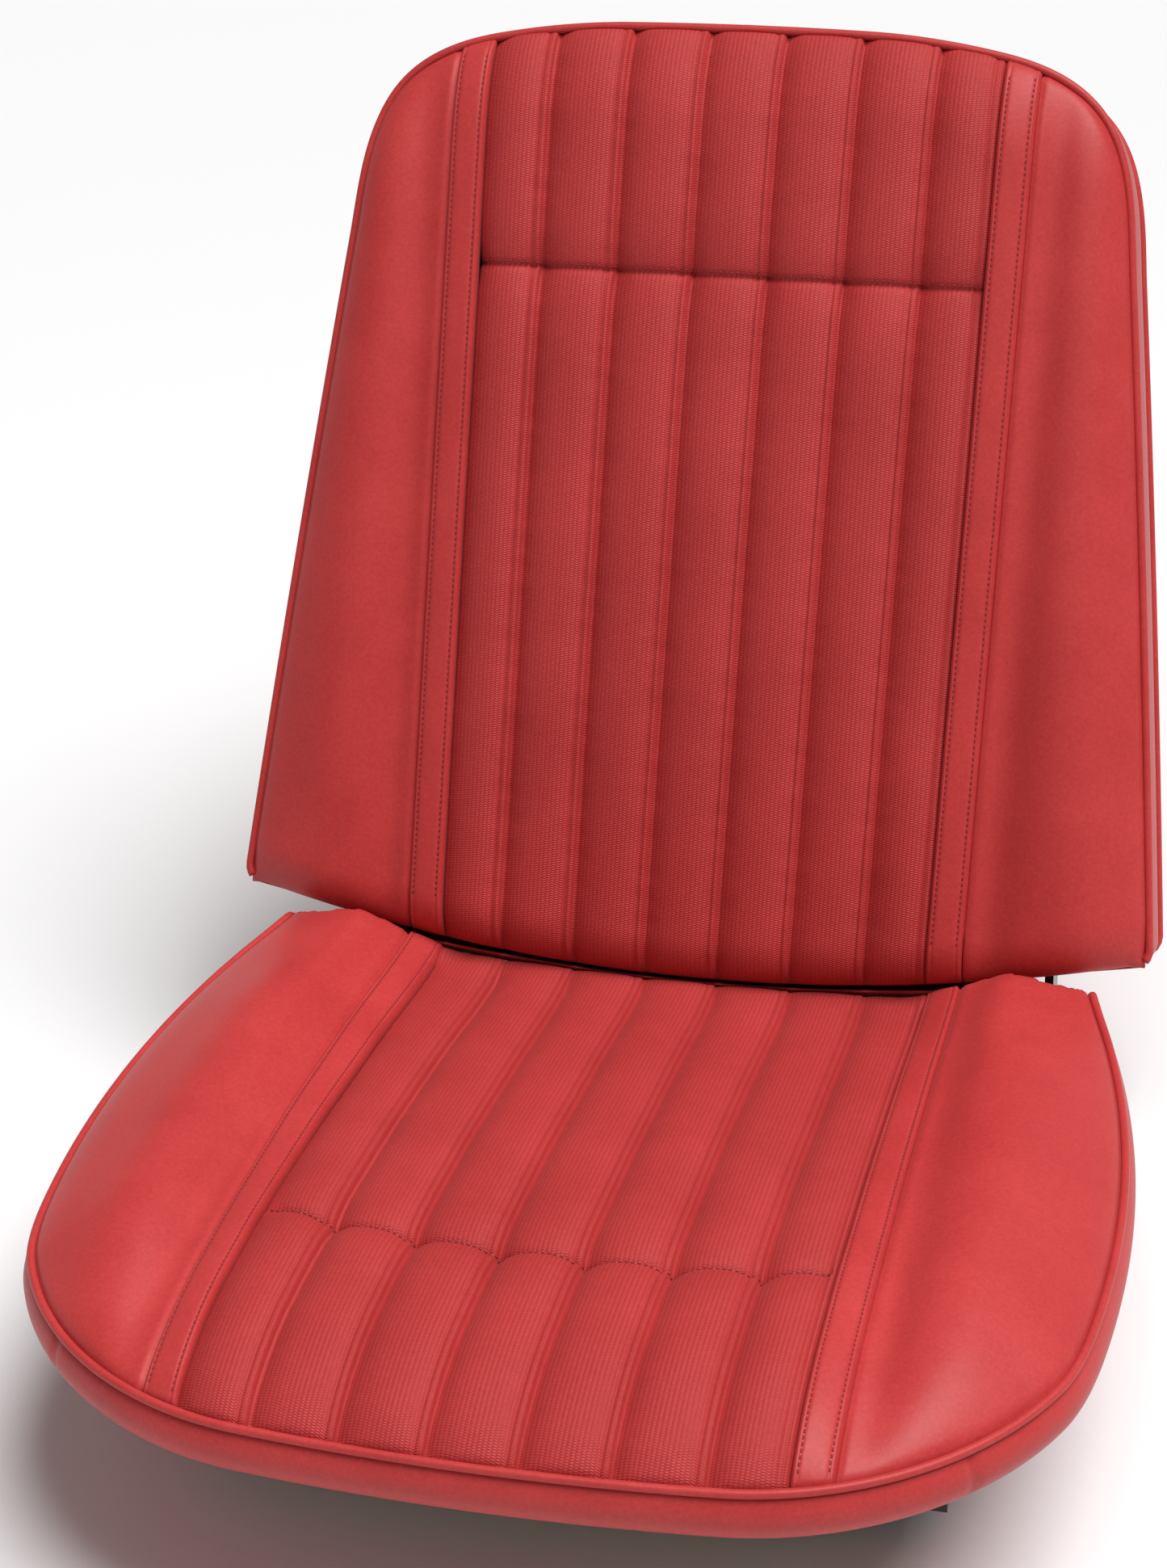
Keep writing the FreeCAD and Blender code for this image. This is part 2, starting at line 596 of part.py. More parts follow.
def release_lever():
    """A cranked flat lever on the right side member, its grip, pin and return spring."""
    y, z, thick, x = "lever_y", "lever_z", "lever_thick", dim("lever_x")
    corners = [(f"{y} - 70", f"{z} - 7"), (f"{y} - 14", f"{z} - 9"), (f"{y} + 8", f"{z} - 12"),
        (f"{y} + 29", f"{z} - 34"),
               (f"{y} + 41", f"{z} - 34"), (f"{y} + 41", f"{z} - 26"), (f"{y} + 14", f"{z} + 6"),
               (f"{y}", f"{z} + 11"),
               (f"{y} - 14", f"{z} + 9"), (f"{y} - 70", f"{z} + 7")]
    blade = pad_body("release_lever", corners, thick, profile_yz(x), [(y, z, "lever_pin_r + 0.04")])
    blade.Label = "release_lever_blade"
    foot = doc.addObject("Part::Box", "latch_tooth")
    rail_edge = "rail_x + rail_half"
    for prop, text in (("Length", f"lever_x - ({rail_edge}) - 0.4"), ("Width", "12"), ("Height", "6")):
        foot.setExpression(prop, bound(text))
    foot.Placement = Placement(Vector(value_of(rail_edge) + 0.4, value_of("lever_y + 29"),
        value_of("lever_z - 34")), Rotation())
    lever = doc.addObject("Part::MultiFuse", "release_lever_whole")
    lever.Shapes = [blade, foot]
    lever.Refine = True
    lever.Label = "release_lever"
    keep(lever)
    grip = slab(x - 2, x + 6, dim(y) - 74, dim(y) - 36, dim(z) - 8.5, dim(z) + 8.5)
    solid = Part.Face(Part.makePolygon([Vector(x, value_of(a), value_of(b)) for a,
        b in corners + corners[:1]]))
    plain("lever_grip", grip.cut(solid.extrude(Vector(dim(thick), 0, 0))))
    centre = Vector(dim("frame_half"), dim(y), dim(z))
    pin = rod(dim("lever_pin_r"), centre, centre + Vector(16, 0, 0))
    pin = pin.fuse(rod(8, centre + Vector(13, 0, 0), centre + Vector(17, 0, 0)))
    pin = pin.fuse(rod(7, centre, centre + Vector(2.7, 0, 0)))
    plain("lever_pin", pin.removeSplitter())
    coil = Part.makeHelix(2.05, 4.1, 6.2)
    start = coil.Edges[0].valueAt(coil.Edges[0].FirstParameter)
    heading = coil.Edges[0].tangentAt(coil.Edges[0].FirstParameter)
    wire = Part.Wire([Part.Circle(start, heading, 0.8).toShape()])
    turns = Part.Wire(coil.Edges).makePipeShell([wire], True, True)
    turns.Placement = Placement(centre + Vector(7.9, 0, 0), Rotation(Vector(0, 1, 0), 90))
    plain("lever_spring", turns)


# ---------------------------------------------------------------- backrest frame

def in_backrest(label, corners, length, start):
    """A profile in the backrest's depth and height, padded across the seat from x = start."""
    body = pad_body(label, corners, length, Placement())
    body.Placement = leaned(profile_yz(start))
    return body


def backrest_frame():
    """Two posts, two cross rails, hinge ears, zigzag springs and the bolts that hang it on the arms."""
    front, rear, low, high, wall = "post_front", "post_rear", "post_low", "post_high", "sheet_steel"
    for side, sign in SIDES.items():
        x = f"{sign} * post_x"
        inner, tip = f"{sign} * (post_x - {wall})", f"{sign} * (post_x - post_flange)"
        section = [(x, f"-({front})"), (x, f"-({rear})"), (tip, f"-({rear})"), (tip, f"{wall} - {rear}"),
                   (inner, f"{wall} - {rear}"), (inner, f"-{front} - {wall}"),
                   (tip, f"-{front} - {wall}"), (tip, f"-({front})")]
        body = pad_body(f"back_post_{side}", section, f"{high} - {low}", Placement())
        flip = Placement(Vector(0, 0, dim(high)), Rotation(Vector(1, 0, 0), 180))
        body.Placement = leaned(flip)
        keep(body)
    for name, base, way in (("bottom", low, 1), ("top", high, -1)):
        far = f"{base} + {way} * 20"
        section = [(front, base), (rear, base), (rear, far), (f"{rear} - {wall}", far),
            (f"{rear} - {wall}", f"{base} + {way} * {wall}"),
                   (f"{front} + {wall}", f"{base} + {way} * {wall}"), (f"{front} + {wall}", far),
                   (front, far)]
        keep(in_backrest(f"back_cross_{name}", section, "2 * (post_x - post_flange)",
            dim("post_flange") - dim("post_x")))
    axis = hinge_in_backrest()
    d, v = axis.y, axis.z
    ear = [(d - 12, v - 6), (d - 6, v - 12), (d + 6, v - 12), (d + 14, v - 6), (66, 62), (66, 130),
        (40, 130), (40, 38), (d - 12, v + 8)]
    corners = [(f"{a:.3f}", f"{b:.3f}") for a, b in ear]
    bolts, washers, nuts = [], [], []
    for side, sign in SIDES.items():
        start = dim("ear_x") if sign > 0 else -dim("ear_x") - dim("plate")
        body = pad_body(f"back_ear_{side}", corners, "plate", leaned(profile_yz(start)),
                        [(f"{d:.3f}", f"{v:.3f}", "pin_r")])
        keep(body)
        centre = Vector(0, dim("hinge_y"), dim("hinge_z"))

        def span(radius, a, b):
            return rod(radius, centre + Vector(sign * a, 0, 0), centre + Vector(sign * b, 0, 0))

        arm_out = dim("arm_x") + dim("plate")
        shank = span(dim("pin_r"), dim("ear_x"), arm_out + 0.4)
        bolt = shank.fuse(span(11, arm_out + 0.4, arm_out + 5)).fuse(span(5, dim("ear_x") - 9,
            dim("ear_x")))
        bolts.append(bolt.removeSplitter())
        washers.append(span(10, dim("ear_x") + dim("plate"),
            dim("arm_x") - 0.2).cut(span(dim("pin_r"), 195, 215)))
        hexagon = Part.makePolygon([
            Vector(sign * (dim("ear_x") - 7), centre.y + 9 * math.cos(k * math.pi / 3),
                centre.z + 9 * math.sin(k * math.pi / 3))
            for k in range(7)
        ])
        nut = Part.Face(hexagon).extrude(Vector(sign * 7, 0, 0))
        nuts.append(nut.cut(span(5, 180, 210)))
    plain("hinge_bolts", Part.makeCompound(bolts))
    plain("hinge_washers", Part.makeCompound(washers))
    plain("hinge_nuts", Part.makeCompound(nuts))
    depth = dim(front) - dim("wire_r")
    wires, clips = [], []
    for row in SPRING_ROWS:
        x = row * dim("spring_spacing")
        wires.append(spring(x, dim(low) + 10, dim(high) - 10, -depth))
        for v0 in (dim(low) + 4, dim(high) - 10):
            clips.append(slab(x - 6, x + 6, v0, v0 + 6, -dim(front), -dim(front) + 3.4))
    upright = Placement(Vector(0, 0, 0), Rotation(Vector(1, 0, 0), 90))
    plain("back_springs", Part.makeCompound(wires)).Placement = leaned(upright)
    plain("back_spring_clips", Part.makeCompound(clips)).Placement = leaned(upright)


def check_and_write():
    """Stops on any failed object, then writes one STEP file per sub-part."""
    doc.recompute()
    for item in doc.Objects:
        if {"Invalid", "Error"} & set(item.State):
            raise RuntimeError(f"{item.Label} did not recompute: {item.State}")
    os.makedirs("parts", exist_ok=True)
    for item in SUB_PARTS:
        shape = item.Shape
        if shape.isNull() or not shape.isValid() or not shape.Solids:
            raise RuntimeError(f"{item.Label} has no valid solid")
    for item in SUB_PARTS:
        shape = item.Shape
        box = shape.optimalBoundingBox()
        spans = [round(v, 1) for v in (box.XMin, box.XMax, box.YMin, box.YMax, box.ZMin, box.ZMax)]
        print(f"{item.Label:24} solids {len(shape.Solids):2}  volume {shape.Volume:12.0f}  {spans}")
        shape.exportStep(f"parts/{item.Label}.step")


cushion_upholstery()
backrest_upholstery()
floor_rails()
sliders()
seat_frame()
hinge_arms()
cushion_springs()
border_wire()
cover_clips()
release_lever()
backrest_frame()
check_and_write()
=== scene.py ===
# %% [markdown]
# A low-back bucket seat, made the way a trimmer sews one: a pleated insert of ribbed vinyl, a flat
# top-stitched band down each side of it, plain grained vinyl bolsters outside that, a boxing strip
# round the edge and a piped welt between the two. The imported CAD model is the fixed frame, and every
# piece made here rides on one of its bodies.

import json
import math

import bpy
import numpy as np
from mathutils import Matrix, Vector


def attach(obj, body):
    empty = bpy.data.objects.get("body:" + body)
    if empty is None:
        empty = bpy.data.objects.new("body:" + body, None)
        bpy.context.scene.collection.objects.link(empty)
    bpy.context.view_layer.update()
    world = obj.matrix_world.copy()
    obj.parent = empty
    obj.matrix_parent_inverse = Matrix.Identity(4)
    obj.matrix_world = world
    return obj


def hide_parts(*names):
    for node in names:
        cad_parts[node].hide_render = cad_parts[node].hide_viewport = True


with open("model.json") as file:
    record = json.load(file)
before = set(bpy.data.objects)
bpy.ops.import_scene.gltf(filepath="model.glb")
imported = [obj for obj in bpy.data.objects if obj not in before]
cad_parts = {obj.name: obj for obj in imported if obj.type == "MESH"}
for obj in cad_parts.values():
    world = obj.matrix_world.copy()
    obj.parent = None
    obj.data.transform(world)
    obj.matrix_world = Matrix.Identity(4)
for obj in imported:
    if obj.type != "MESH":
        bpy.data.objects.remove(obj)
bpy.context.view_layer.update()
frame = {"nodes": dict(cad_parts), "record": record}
nodes = frame["nodes"]

# %% [markdown]
# Shapes are worked out in millimetres, because that is how upholstery is measured, and become metres
# only when a mesh is built. The driving sizes are those of the frame: the cushion's plan, the tilt of
# its welt, and the backrest's own upright drawing, which is then leaned back about the seat.

# %% Driving sizes
MM = 0.001
FRONT, REAR = -326.0, 168.0
HALF, WIDEST = 277.0, -122.0
WELT_LEVEL, WELT_SLOPE = 131.0, 0.057
FOOT_LEVEL, FOOT_FRONT, FOOT_HALF = 62.0, -256.0, 212.0
LEAN = math.radians(28.3)
BASE_Y, BASE_Z = 149.8, 135.0
BACK_TOP, BACK_SAG, BACK_LOW, BACK_HIGH = 512.0, 31.0, 266.0, 222.0
BACK_DEPTH = 72.0
PLEAT, BACK_PLEAT = 45.0, 42.8
SEAM_HALF = 151.0
STITCH_V = 372.0
HINGE_Y, HINGE_Z, HINGE_D, HINGE_V = 182.0, 140.0, 26.0, 19.7


# %% Outline helpers
def through(a, b, c, count):
    """Points on the circle through three points, from a by way of b to c."""
    (ax, ay), (bx, by), (cx, cy) = a, b, c
    d = 2 * (ax * (by - cy) + bx * (cy - ay) + cx * (ay - by))
    ux = ((ax**2 + ay**2) * (by - cy) + (bx**2 + by**2) * (cy - ay) + (cx**2 + cy**2) * (ay - by)) / d
    uy = ((ax**2 + ay**2) * (cx - bx) + (bx**2 + by**2) * (ax - cx) + (cx**2 + cy**2) * (bx - ax)) / d
    start, middle, end = (math.atan2(y - uy, x - ux) for x, y in (a, b, c))
    turn = (end - start) % (2 * math.pi)
    if (middle - start) % (2 * math.pi) > turn:
        turn -= 2 * math.pi
    angle = start + turn * np.linspace(0, 1, count)
    radius = math.hypot(ax - ux, ay - uy)
    return np.stack([ux + radius * np.cos(angle), uy + radius * np.sin(angle)], -1)


def straight(a, b, count):
    """Evenly spaced points from a to b."""
    return np.array(a) + np.linspace(0, 1, count)[:, None] * (np.array(b) - np.array(a))


def chain(*pieces):
    """Joins point runs end to end, dropping the doubled joints."""
    return np.concatenate([pieces[0]] + [p[1:] for p in pieces[1:]])


def softened(path, reach=5):
    """Each point becomes the mean of its neighbours, mirrored about x = 0 at an end on the centre line."""
    def beyond(end, inner):
        return inner * np.array([-1.0, 1.0]) if abs(end[0]) < 1e-6 else np.repeat(end[None], len(inner), 0)
    head = beyond(path[0], path[1:reach + 1][::-1])
    tail = beyond(path[-1], path[-reach - 1:-1][::-1])
    long = np.concatenate([head, path, tail])
    kernel = np.ones(2 * reach + 1) / (2 * reach + 1)
    mean = np.stack([np.convolve(long[:, k], kernel, "valid") for k in (0, 1)], -1)
    mean[0], mean[-1] = path[0], path[-1]
    return mean


def cushion_rim(n=60):
    """Right half of the cushion's plan at the welt, from the front centre round to the rear corner."""
    bow, corner, side = (130, FRONT + 7), (HALF - 7, WIDEST - 76), (HALF - 41, REAR - 33)
    return softened(chain(
        through((0, FRONT), (bow[0] / 2, FRONT + 1.8), bow, n),
        through(bow, (HALF - 52, FRONT + 56), corner, n),
        through(corner, (HALF, WIDEST), side, n),
        through(side, (side[0] - 9.5, REAR - 9), (side[0] - 34, REAR), n // 2),
    ))


def foot_rim(n=60):
    """Right half of the plan where the cover turns under, point for point with the rim above it."""
    bow, side = (FOOT_HALF - 110, FOOT_FRONT + 5), (FOOT_HALF, FOOT_FRONT + 110)
    return softened(chain(
        through((0, FOOT_FRONT), (50, FOOT_FRONT + 1), bow, n),
        through(bow, (FOOT_HALF - 34, FOOT_FRONT + 36), side, n),
        through(side, (FOOT_HALF + 1, -30), (FOOT_HALF, REAR - 20), n),
        through((FOOT_HALF, REAR - 20), (FOOT_HALF - 6, REAR - 6), (FOOT_HALF - 20, REAR), n // 2),
    ))


def back_edge(n=60):
    """Right half of the backrest seen from the front: bottom centre, corner, side, shoulder, top centre."""
    corner = BACK_LOW - 10
    bow = (corner**2 + BACK_SAG**2) / (2 * BACK_SAG)
    lower = chain(
        through((0, -BACK_SAG), (corner / 2, -BACK_SAG + corner**2 / (8 * bow)), (corner, 0), n),
        through((corner, 0), (BACK_LOW - 2, 4), (BACK_LOW, 12), n // 3),
    )
    side, shoulder = (BACK_HIGH, BACK_TOP - 92), (BACK_HIGH - 42, BACK_TOP - 16.5)
    upper = chain(
        through((BACK_LOW, 12), ((BACK_LOW + BACK_HIGH) / 2 + 2, 210), side, n),
        through(side, (BACK_HIGH - 14, BACK_TOP - 42), shoulder, n),
        straight(shoulder, (105, BACK_TOP - 2), n // 2),
        through((105, BACK_TOP - 2), (52, BACK_TOP - 0.5), (0, BACK_TOP), n // 2),
    )
    return chain(lower, softened(resample(upper, 340), 18))


def resample(path, count):
    """The same path with evenly spaced points."""
    step = np.concatenate([[0], np.cumsum(np.linalg.norm(np.diff(path, axis=0), axis=1))])
    at = np.linspace(0, step[-1], count)
    return np.stack([np.interp(at, step, path[:, k]) for k in range(path.shape[1])], -1)


def between(path, a, b, count):
    """The part of a path between the points nearest a and b, evenly spaced."""
    i = int(np.argmin(((path - np.array(a)) ** 2).sum(1)))
    j = int(np.argmin(((path - np.array(b)) ** 2).sum(1)))
    return resample(path[min(i, j):max(i, j) + 1][:: 1 if i < j else -1], count)


def edge_distance(x, y, path):
    """Distance from each (x, y) to the nearest segment of a path, taken in one array."""
    a, b = path[:-1], path[1:]
    run = b - a
    p = np.stack([x.ravel(), y.ravel()], -1)
    best = np.full(len(p), 1e9)
    for start in range(0, len(p), 4000):
        q = p[start:start + 4000, None, :] - a[None]
        t = np.clip((q * run).sum(-1) / (run**2).sum(-1), 0, 1)
        best[start:start + 4000] = np.sqrt(((q - t[..., None] * run) ** 2).sum(-1)).min(1)
    return best.reshape(x.shape)


def soft_curve(stations, at, reach=16.0):
    """Straight-line interpolation through (place, value) pairs, averaged over a window so it has no kinks."""
    places, values = np.array(stations, float).T
    offsets = np.linspace(-reach, reach, 13)
    return np.mean([np.interp(at + o, places, values) for o in offsets], axis=0)


def smooth(t):
    t = np.clip(t, 0, 1)
    return t * t * (3 - 2 * t)


def coons(bottom, top, left, right):
    """A patch that fills four edge curves: the two ruled blends less the blend of the corners."""
    m, n = len(left), len(bottom)
    u, v = np.linspace(0, 1, n)[None, :, None], np.linspace(0, 1, m)[:, None, None]
    ruled = (1 - v) * bottom[None] + v * top[None] + (1 - u) * left[:, None] + u * right[:, None]
    corners = ((1 - u) * (1 - v) * bottom[0] + u * (1 - v) * bottom[-1]
               + (1 - u) * v * top[0] + u * v * top[-1])
    return ruled - corners


CUSHION_RIM, FOOT_RIM, BACK_EDGE = cushion_rim(), foot_rim(), back_edge()
CUSHION_EDGE = chain(CUSHION_RIM, straight(tuple(CUSHION_RIM[-1]), (0, REAR), 60))
WELT_START = int(np.argmin(((BACK_EDGE - np.array([BACK_LOW - 2, 4])) ** 2).sum(1)))
print("cushion rim", CUSHION_RIM.shape, "backrest edge", BACK_EDGE.shape, "welt starts at", WELT_START)

# %% [markdown]
# A grid of points becomes a mesh in one call. A padded piece has to be a closed form, so its edges are
# first turned down and the underside is then a fan of strips from side to side: the top keeps all the
# detail, and the hidden underside costs almost nothing.


# %% Mesh builders
def new_object(name, points, faces, uv=None):
    """A smooth-shaded mesh object, in metres, with an optional UV per point."""
    mesh = bpy.data.meshes.new(name)
    mesh.from_pydata((points * MM).tolist(), [], faces)
    if uv is not None:
        layer = mesh.uv_layers.new(name="UVMap")
        index = np.empty(len(mesh.loops), np.int32)
        mesh.loops.foreach_get("vertex_index", index)
        layer.data.foreach_set("uv", (uv[index] * MM).astype(np.float32).ravel())
    mesh.polygons.foreach_set("use_smooth", np.ones(len(mesh.polygons), bool))
    mesh.validate()
    mesh.update()
    piece = bpy.data.objects.new(name, mesh)
    bpy.context.scene.collection.objects.link(piece)
    return piece


def grid_faces(m, n, flip=False, wrap=False):
    """Quads of an m by n grid, seen anticlockwise when columns run right and rows run up."""
    i, j = np.meshgrid(np.arange(m - 1), np.arange(n if wrap else n - 1), indexing="ij")
    k = (j + 1) % n
    quads = np.stack([i * n + j, i * n + k, (i + 1) * n + k, (i + 1) * n + j], -1).reshape(-1, 4)
    return (quads[:, ::-1] if flip else quads).tolist()


def sheet_piece(name, grid, uv, flip=False, thickness=1.2, opening=None):
    """An open sheet given a small thickness on its inner side; `opening` marks faces to leave out."""
    m, n = grid.shape[:2]
    faces = grid_faces(m, n, flip)
    if opening is not None:
        faces = [face for face, out in zip(faces, opening[:-1, :-1].ravel()) if not out]
    piece = new_object(name, grid.reshape(-1, 3), faces, uv.reshape(-1, 2))
    solid = piece.modifiers.new("thickness", "SOLIDIFY")
    solid.thickness = thickness * MM
    solid.offset = -1
    return piece


def padded_piece(name, grid, uv, flip=False):
    """A closed padded form: the grid on top, and strips from side to side underneath."""
    m, n = grid.shape[:2]
    faces = grid_faces(m, n, flip)
    under = [[(i + 1) * n, (i + 1) * n + n - 1, i * n + n - 1, i * n] for i in range(m - 1)]
    ends = [list(range(n))[::-1], [(m - 1) * n + j for j in range(n)]]
    extra = under + ends
    faces += [face[::-1] for face in extra] if flip else extra
    return new_object(name, grid.reshape(-1, 3), faces, uv.reshape(-1, 2))


def tube_piece(name, path, radius, sides=10):
    """A round cord: a circle carried along a path, with its ends closed by flat caps."""
    tangent = np.gradient(path, axis=0)
    tangent /= np.linalg.norm(tangent, axis=1, keepdims=True)
    across = np.cross(tangent, [0.0, 0.0, 1.0])
    short = np.linalg.norm(across, axis=1) < 1e-3
    across[short] = [1.0, 0.0, 0.0]
    across /= np.linalg.norm(across, axis=1, keepdims=True)
    other = np.cross(across, tangent)
    angle = np.linspace(0, 2 * np.pi, sides, endpoint=False)[None, :, None]
    ring = path[:, None] + radius * (np.cos(angle) * across[:, None] + np.sin(angle) * other[:, None])
    m = len(path)
    faces = grid_faces(m, sides, wrap=True)
    faces += [list(range(sides))[::-1], [(m - 1) * sides + j for j in range(sides)]]
    run = np.concatenate([[0], np.cumsum(np.linalg.norm(np.diff(path, axis=0), axis=1))])
    uv = np.stack(np.broadcast_arrays(run[:, None], radius * angle[0, :, 0][None]), -1)
    return new_object(name, ring.reshape(-1, 3), faces, uv.reshape(-1, 2))


def turn_down(grid, uv, depth, out):
    """Adds a turned-under rim round a grid: each border is copied lower by `depth` along -`out`."""
    for axis in (0, 1):
        first, last = np.take(grid, [0], axis), np.take(grid, [-1], axis)
        uv_first, uv_last = np.take(uv, [0], axis), np.take(uv, [-1], axis)
        drop = depth * np.array(out)
        grid = np.concatenate([first - drop, grid, last - drop], axis)
        uv = np.concatenate([uv_first, uv, uv_last], axis)
    grid[0, [0, -1]] += drop
    grid[-1, [0, -1]] += drop
    return grid, uv


def mirrored(grid):
    return grid * np.array([-1.0, 1.0, 1.0])


# %% [markdown]
# The cushion is one padded surface cut into panels, so one height function serves them all. It is the
# welt's tilted plane, plus a crest that differs between the middle and the bolsters, times a rounded
# fall towards the edge, less the roll-down at the rear that lets the backrest fold past it.


# %% Cushion surface
MIDDLE = [(-340, 27), (-250, 27), (-182, 27), (-80, 17), (20, 2), (90, -11), (120, -14), (170, -15)]
BOLSTER = [(-340, 21), (-250, 25), (-182, 28), (-80, 29), (20, 26), (90, 20), (118, 17), (170, 16)]


def seam_squeeze(y):
    """How far the seams have drawn in at y: the panels narrow by 8 mm from front to rear."""
    return 1 - 8 * (y - FRONT) / (REAR - FRONT) / 151


def welt_height(y):
    """Height of the welt: its tilted plane, rolled down by 30 mm over the last of the cushion."""
    return WELT_LEVEL - WELT_SLOPE * y - 30 * smooth((y - 133) / 25)


def back_bottom(x):
    """Height of the backrest's sagging bottom edge."""
    return -BACK_SAG * (1 - np.clip(np.abs(x) / 256, 0, 1) ** 2)


def sweep_radius(x):
    """How far the backrest's rolled bottom reaches from the hinge line at each x."""
    angle = np.linspace(0, np.pi / 2, 10).reshape((-1,) + (1,) * np.ndim(x))
    front = 20 + 5 * np.exp(-(((np.abs(x) - 212) / 24) ** 2)) - 9 * smooth((np.abs(x) - 222) / 30)
    low = HINGE_V - back_bottom(x) - 26 * (1 - np.cos(angle))
    return np.sqrt(((HINGE_D + front * np.sin(angle)) ** 2 + low**2).max(0))


def fold_clearance(x, y, margin=2.2):
    """Height under the arc that the backrest's bottom sweeps as it folds, with a margin."""
    radius = sweep_radius(x) + margin
    ahead = np.maximum(HINGE_Y - radius - y, 0)
    return HINGE_Z - np.sqrt(np.maximum(radius**2 - (HINGE_Y - y) ** 2, 0)) + 4 * ahead


def cushion_height(x, y):
    """Height of the cover before pleats: welt height plus crest times the rounded fall to the edge."""
    distance = edge_distance(np.abs(x), np.minimum(y, 150), CUSHION_RIM)
    fall = (1 - (1 - np.clip(distance / 78, 0, 1)) ** 2) ** 0.7
    wide = np.abs(x) / seam_squeeze(y)
    share = smooth((wide - 132) / 72)
    crest = (1 - share) * soft_curve(MIDDLE, y) + share * soft_curve(BOLSTER, y)
    ridge = 5.5 * np.exp(-(((wide - 222) / 24) ** 2)) * smooth((100 - y) / 110)
    hollow = -(4.5 + 3.0 * smooth((-60 - y) / 150)) * np.exp(-(((wide - 181) / 15) ** 2))
    height = welt_height(y) + (crest + ridge + hollow) * fall
    limit = fold_clearance(x, y)
    return -1.2 * np.logaddexp(-height / 1.2, -limit / 1.2)


def pleat_profile(x, half_width, pitch=PLEAT, depth=6.4):
    """Height across the pleats: gentle crowns, a stitched lip left of each seam, a drop right of it."""
    edges = pitch * np.arange(-2.5, 3.0)
    edges = np.concatenate([[-half_width], edges, [half_width]])
    left = edges[np.clip(np.searchsorted(edges, x, side="right") - 1, 0, len(edges) - 2)]
    right = edges[np.clip(np.searchsorted(edges, x, side="right"), 1, len(edges) - 1)]
    after, before = x - left, right - x
    crown = 2.0 * np.sin(np.pi * np.clip(after / (right - left), 0, 1))
    drop = -depth * np.exp(-((np.maximum(after, 0) / 7.8) ** 1.25))
    slope = -2.6 * np.exp(-((before / 8.5) ** 2))
    lip = 1.3 * np.exp(-(((before - 2.3) / 1.5) ** 2)) - 0.7 * np.exp(-(((before - 5.2) / 0.9) ** 2))
    cut = -1.8 * np.exp(-((before / 0.8) ** 2))
    return crown + drop + slope + lip + cut


def pucker(across, along, pitch=PLEAT):
    """Small even gathers that thread tension leaves beside each pleat seam."""
    phase = (across / pitch + 0.5) % 1.0
    near = np.exp(-((np.minimum(phase, 1 - phase) * pitch / 9.0) ** 2))
    wave = (np.sin(along / 2.9 + 1.3 * np.sin(along / 11.0 + across / 17.0))
            + 0.6 * np.sin(along / 6.1 + across / 9.0))
    swell = np.sin(along / 31.0 + across / 23.0) + np.sin(along / 47.0 - across / 13.0)
    return 0.16 * near * wave + 0.28 * swell


def pinch(across, along, pitch=PLEAT, strength=6.2):
    """A row of stitches that pulls the pleats down: a narrow line inside a wider soft hollow."""
    line = np.exp(-np.abs(along / 2.0) ** 1.3)
    hollow = np.exp(-np.abs(along / 14.0) ** 1.4)
    phase = (across / pitch + 0.5) % 1.0
    corner = np.exp(-((np.minimum(phase, 1 - phase) * pitch / 8.0) ** 2))
    return -strength * (0.38 * line + 0.62 * hollow) - 2.2 * corner * np.exp(-np.abs(along / 10.0))


def pleat_columns(half_width, pitch=PLEAT, base=3.2):
    """Column places across the pleats, closer together at each seam."""
    near = np.array([-7, -5.9, -5.2, -4.5, -3.4, -2.3, -1.3, -0.6, 0.05, 0.8, 1.8, 3, 4.6, 6.6, 9, 12])
    seams = pitch * np.arange(-2.5, 3.0)
    edge = np.array([0, 0.8, 1.8, 3, 4.6, 6.6, 9, 12])
    even = np.arange(-half_width, half_width, base)
    sets = [seams[:, None] + near, half_width + near[near < 0], -half_width + edge, [half_width], even]
    places = np.unique(np.concatenate([np.ravel(part) for part in sets]))
    keep = np.concatenate([[True], np.diff(places) > 0.35])
    places = places[keep & (np.abs(places) <= half_width)]
    places[-1] = half_width
    return places


def row_shares(middle, count_low, count_high, near=0.016):
    """Row places from 0 to 1 that bunch up where the cross stitching runs, at `middle`."""
    low, high = np.linspace(0, middle, count_low), np.linspace(middle, 1, count_high)
    close = middle + near * np.array([-1, -0.7, -0.45, -0.25, -0.1, 0.1, 0.25, 0.45, 0.7, 1])
    rows = np.unique(np.concatenate([low, high, close]))
    return rows[np.concatenate([[True], np.diff(rows) > 0.0004])]


def front_line(x):
    """The front welt's place along Y at each x."""
    return np.interp(np.abs(x), CUSHION_RIM[:110, 0], CUSHION_RIM[:110, 1])


def stitch_line(x):
    """The cushion's cross stitching, bowed forward at the middle."""
    return -186 + 13 * (x / 149) ** 2


def add_rear_wall(grid, uv):
    """Rows that carry the cover down behind the cushion and under its foot."""
    last, uv_last = grid[-1:], uv[-1:]
    drop = last[..., 2] - FOOT_LEVEL
    rows, uvs = [grid], [uv]
    for share, back in ((0.06, 1.2), (0.2, 2.2), (0.45, 2.6), (0.75, 1.4), (0.97, -1.0), (1.0, -5.0)):
        row = last.copy()
        row[..., 1] += back - 2
        row[..., 2] -= drop * share
        rows.append(row)
        step = uv_last.copy()
        step[..., 1] += drop * share
        uvs.append(step)
    return np.concatenate(rows), np.concatenate(uvs)


